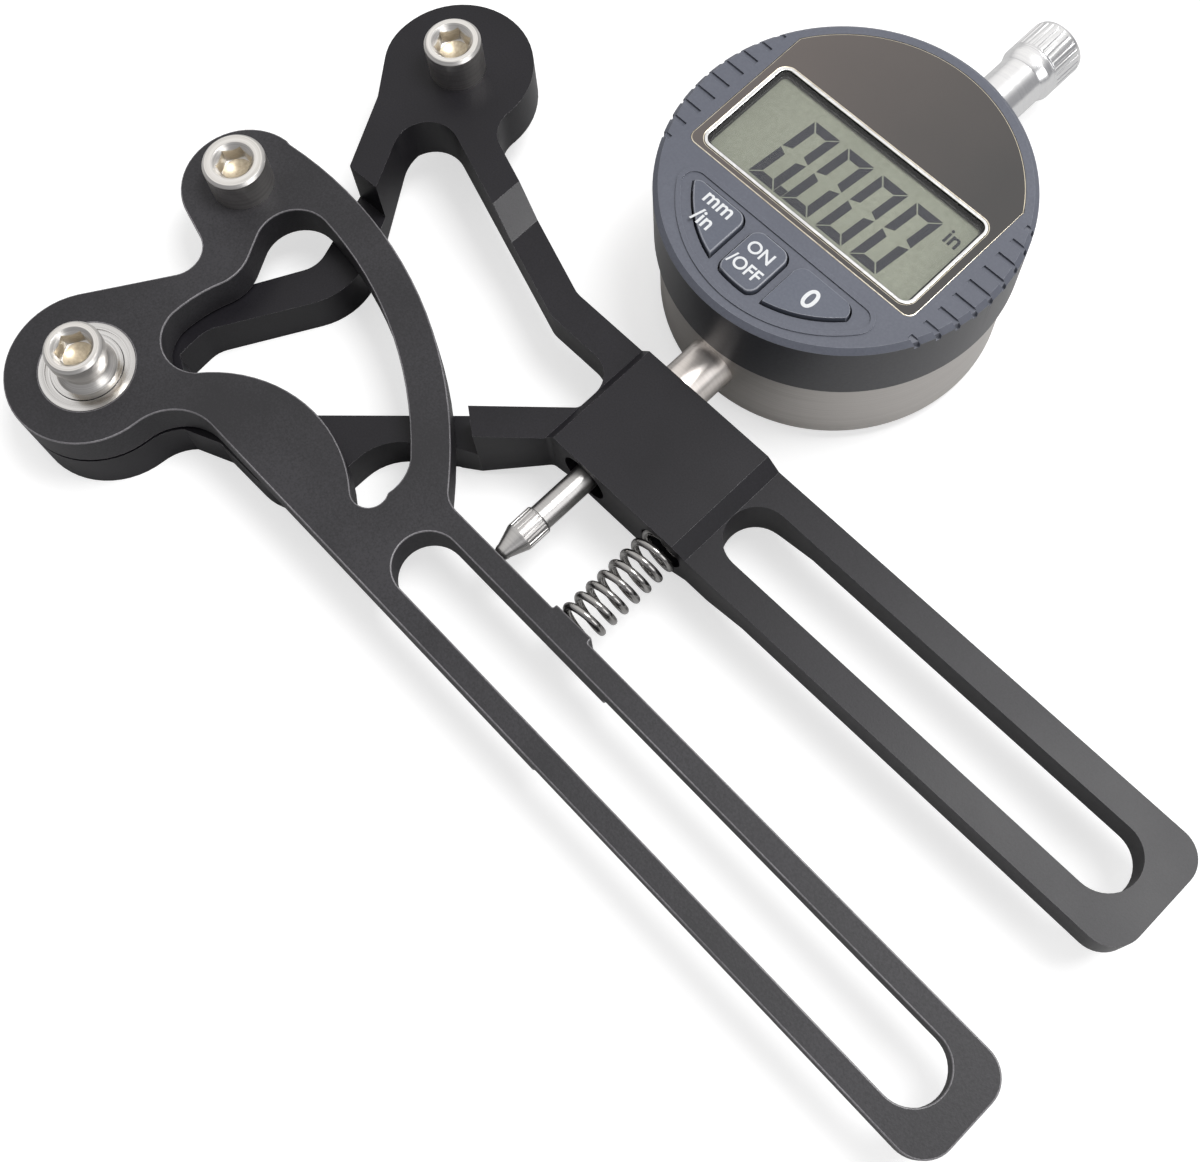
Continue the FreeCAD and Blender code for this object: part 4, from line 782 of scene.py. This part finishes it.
gauge_center_x = gauge_axis[0]
gauge_center_y = gauge_axis[1]
panel_top_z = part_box("display_panel")[1].z
ink_thickness = 0.00006
figure_count = 4
figure_height = 0.0128
figure_width = 0.0050
figure_pitch = 0.0066
figure_first_x = -0.0119
figure_low_y = -0.0075
figure_stroke = 0.00140
figure_gap = 0.00016
figure_middle_cut = 0.0006
figure_slant = math.tan(math.radians(6))
unit_mark_size = 0.0036
unit_mark_x = gauge_center_x + 0.0170
unit_mark_y = gauge_center_y + 0.0042
display_grey = blasted_finish(
    "liquid_crystal_grey", (0.225, 0.238, 0.185, 1), (0.285, 0.297, 0.235, 1), 0.35, 0.45, 1200.0, 0.05,
    specular=0.2)
figure_ink = blasted_finish(
    "liquid_crystal_ink", (0.014, 0.015, 0.024, 1), (0.022, 0.023, 0.034, 1), 0.5, 0.6, 1200.0, 0.0,
    specular=0.1)
finish_nodes(display_grey, "display_panel")


def ink_bar(length, stroke, low_cut, high_cut, turn, middle):
    """One bar of a figure. Its inner side, to the right, is cut back at a slant at both ends."""
    bpy.ops.object.select_all(action="DESELECT")
    bpy.ops.mesh.primitive_plane_add(size=1)
    bar = bpy.context.object
    bar.scale = (stroke, length, 1)
    bpy.ops.object.transform_apply(location=False, rotation=False, scale=True)
    bpy.ops.object.mode_set(mode="EDIT")
    bpy.ops.mesh.select_mode(type="VERT")
    for side, cut in ((-1, low_cut), (1, high_cut)):
        bpy.ops.mesh.select_all(action="DESELECT")
        shape = bmesh.from_edit_mesh(bar.data)
        for corner in shape.verts:
            corner.select_set(corner.co.y * side > 0 and corner.co.x > 0)
        shape.select_flush_mode()
        bmesh.update_edit_mesh(bar.data)
        bpy.ops.transform.translate(value=(0, -side * cut, 0))
    bpy.ops.mesh.select_all(action="SELECT")
    bpy.ops.mesh.extrude_region_move(TRANSFORM_OT_translate={"value": (0, 0, ink_thickness)})
    bpy.ops.mesh.select_all(action="SELECT")
    bpy.ops.mesh.normals_make_consistent(inside=False)
    bpy.ops.object.mode_set(mode="OBJECT")
    bar.data.transform(Matrix.Translation((middle[0], middle[1], 0)) @ Matrix.Rotation(turn, 4, "Z"))
    return bar


def joined(pieces, name):
    """Several meshes as one piece."""
    select_only(pieces[0])
    for piece in pieces[1:]:
        piece.select_set(True)
    bpy.ops.object.join()
    bpy.context.object.name = name
    return bpy.context.object


half_width = (figure_width - figure_stroke) / 2
half_height = (figure_height - figure_stroke) / 2
level_length = figure_width - 2 * figure_gap
upright_length = figure_height / 2 - 2 * figure_gap
upright_rise = figure_height / 4
bars = []
for index in range(figure_count):
    middle_x = figure_first_x + figure_width / 2 + index * figure_pitch
    middle_y = figure_low_y + figure_height / 2
    for turn, way in ((math.pi / 2, -1), (-math.pi / 2, 1)):
        bars.append(ink_bar(
            level_length, figure_stroke, figure_stroke, figure_stroke, turn,
            (middle_x, middle_y + way * half_height)))
    for turn, way in ((0, -1), (math.pi, 1)):
        for rise in (-upright_rise, upright_rise):
            at_corner = (rise > 0) == (way < 0)
            low_cut, high_cut = (figure_middle_cut, figure_stroke) if at_corner else (
                figure_stroke, figure_middle_cut)
            bars.append(ink_bar(
                upright_length, figure_stroke, low_cut, high_cut, turn,
                (middle_x + way * half_width, middle_y + rise)))
point_x = figure_first_x + figure_width + (figure_pitch - figure_width) / 2
bars.append(ink_bar(
    figure_stroke, figure_stroke, 0, 0, 0, (point_x, figure_low_y + figure_stroke / 2)))
figures = joined(bars, "display_figures")
for corner in figures.data.vertices:
    corner.co.x += (corner.co.y - figure_low_y) * figure_slant
figures.data.transform(Matrix.Translation((gauge_center_x, gauge_center_y, panel_top_z)))
figures.data.materials.append(figure_ink)
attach(figures, "bezel")


def printed_word(name, lines, height, line_step, middle, level, thickness, finish):
    """A few generic letters, printed flat: one line under another, centred on their place."""
    words = []
    for index, line in enumerate(lines):
        bpy.ops.object.select_all(action="DESELECT")
        bpy.ops.object.text_add()
        word = bpy.context.object
        word.data.body = line
        word.data.size = height
        word.data.align_x = "CENTER"
        word.data.align_y = "CENTER"
        word.data.extrude = thickness / 2
        word.data.offset = height / 60
        bpy.ops.object.convert(target="MESH")
        word = bpy.context.object
        drop = ((len(lines) - 1) / 2 - index) * line_step
        word.data.transform(Matrix.Translation((middle[0], middle[1] + drop, level + thickness / 2)))
        words.append(word)
    word = joined(words, name)
    word.data.materials.clear()
    word.data.materials.append(finish)
    return word


unit_mark = printed_word(
    "display_unit_mark", ("in",), unit_mark_size, 0, (unit_mark_x, unit_mark_y), panel_top_z,
    ink_thickness, figure_ink)
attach(unit_mark, "bezel")

# Buttons
# Three keys of the bezel's plastic, a shade bluer, with softly rounded tops and plain white marks.

key_edge_width = 0.0003
key_plastic = blasted_finish(
    "key_plastic", (0.098, 0.108, 0.142, 1), (0.118, 0.130, 0.166, 1), 0.36, 0.48, 2500.0, 0.1)
mark_white = blasted_finish(
    "white_key_paint", (0.74, 0.76, 0.78, 1), (0.84, 0.85, 0.86, 1), 0.4, 0.5, 3000.0, 0.05)
key_top_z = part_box("unit_button")[1].z
mark_thickness = 0.00004
for node, body, lines, size, line_step, middle in (
        ("unit_button", "unit_key", ("mm", "/in"), 0.0034, 0.0033, (-0.0098, -0.0172)),
        ("power_button", "power_key", ("ON", "/OFF"), 0.0028, 0.0032, (-0.0002, -0.0188)),
        ("zero_button", "zero_key", ("0",), 0.0044, 0, (0.0098, -0.0178))):
    # The keys' bevels take the bezel's painted edge highlight.
    key = machined_copy(node, node + "_moulded", key_edge_width, key_plastic, bezel_edge_painted_highlight)
    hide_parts(node)
    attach(key, body)
    mark = printed_word(
        node + "_mark", lines, size, line_step, (gauge_center_x + middle[0], gauge_center_y + middle[1]),
        key_top_z, mark_thickness, mark_white)
    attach(mark, body)

# Button pad and coin cell
# Hidden under the keys and the plate: the soft black pad and the steel cell.

rubber_pad = blasted_finish(
    "soft_rubber", (0.012, 0.012, 0.012, 1), (0.022, 0.022, 0.022, 1), 0.6, 0.8, 1500.0, 0.2)
finish_nodes(rubber_pad, "button_pad")
finish_nodes(hub_ring_steel, "coin_cell")

# The scene brought up to date after its new pieces
bpy.context.view_layer.update()
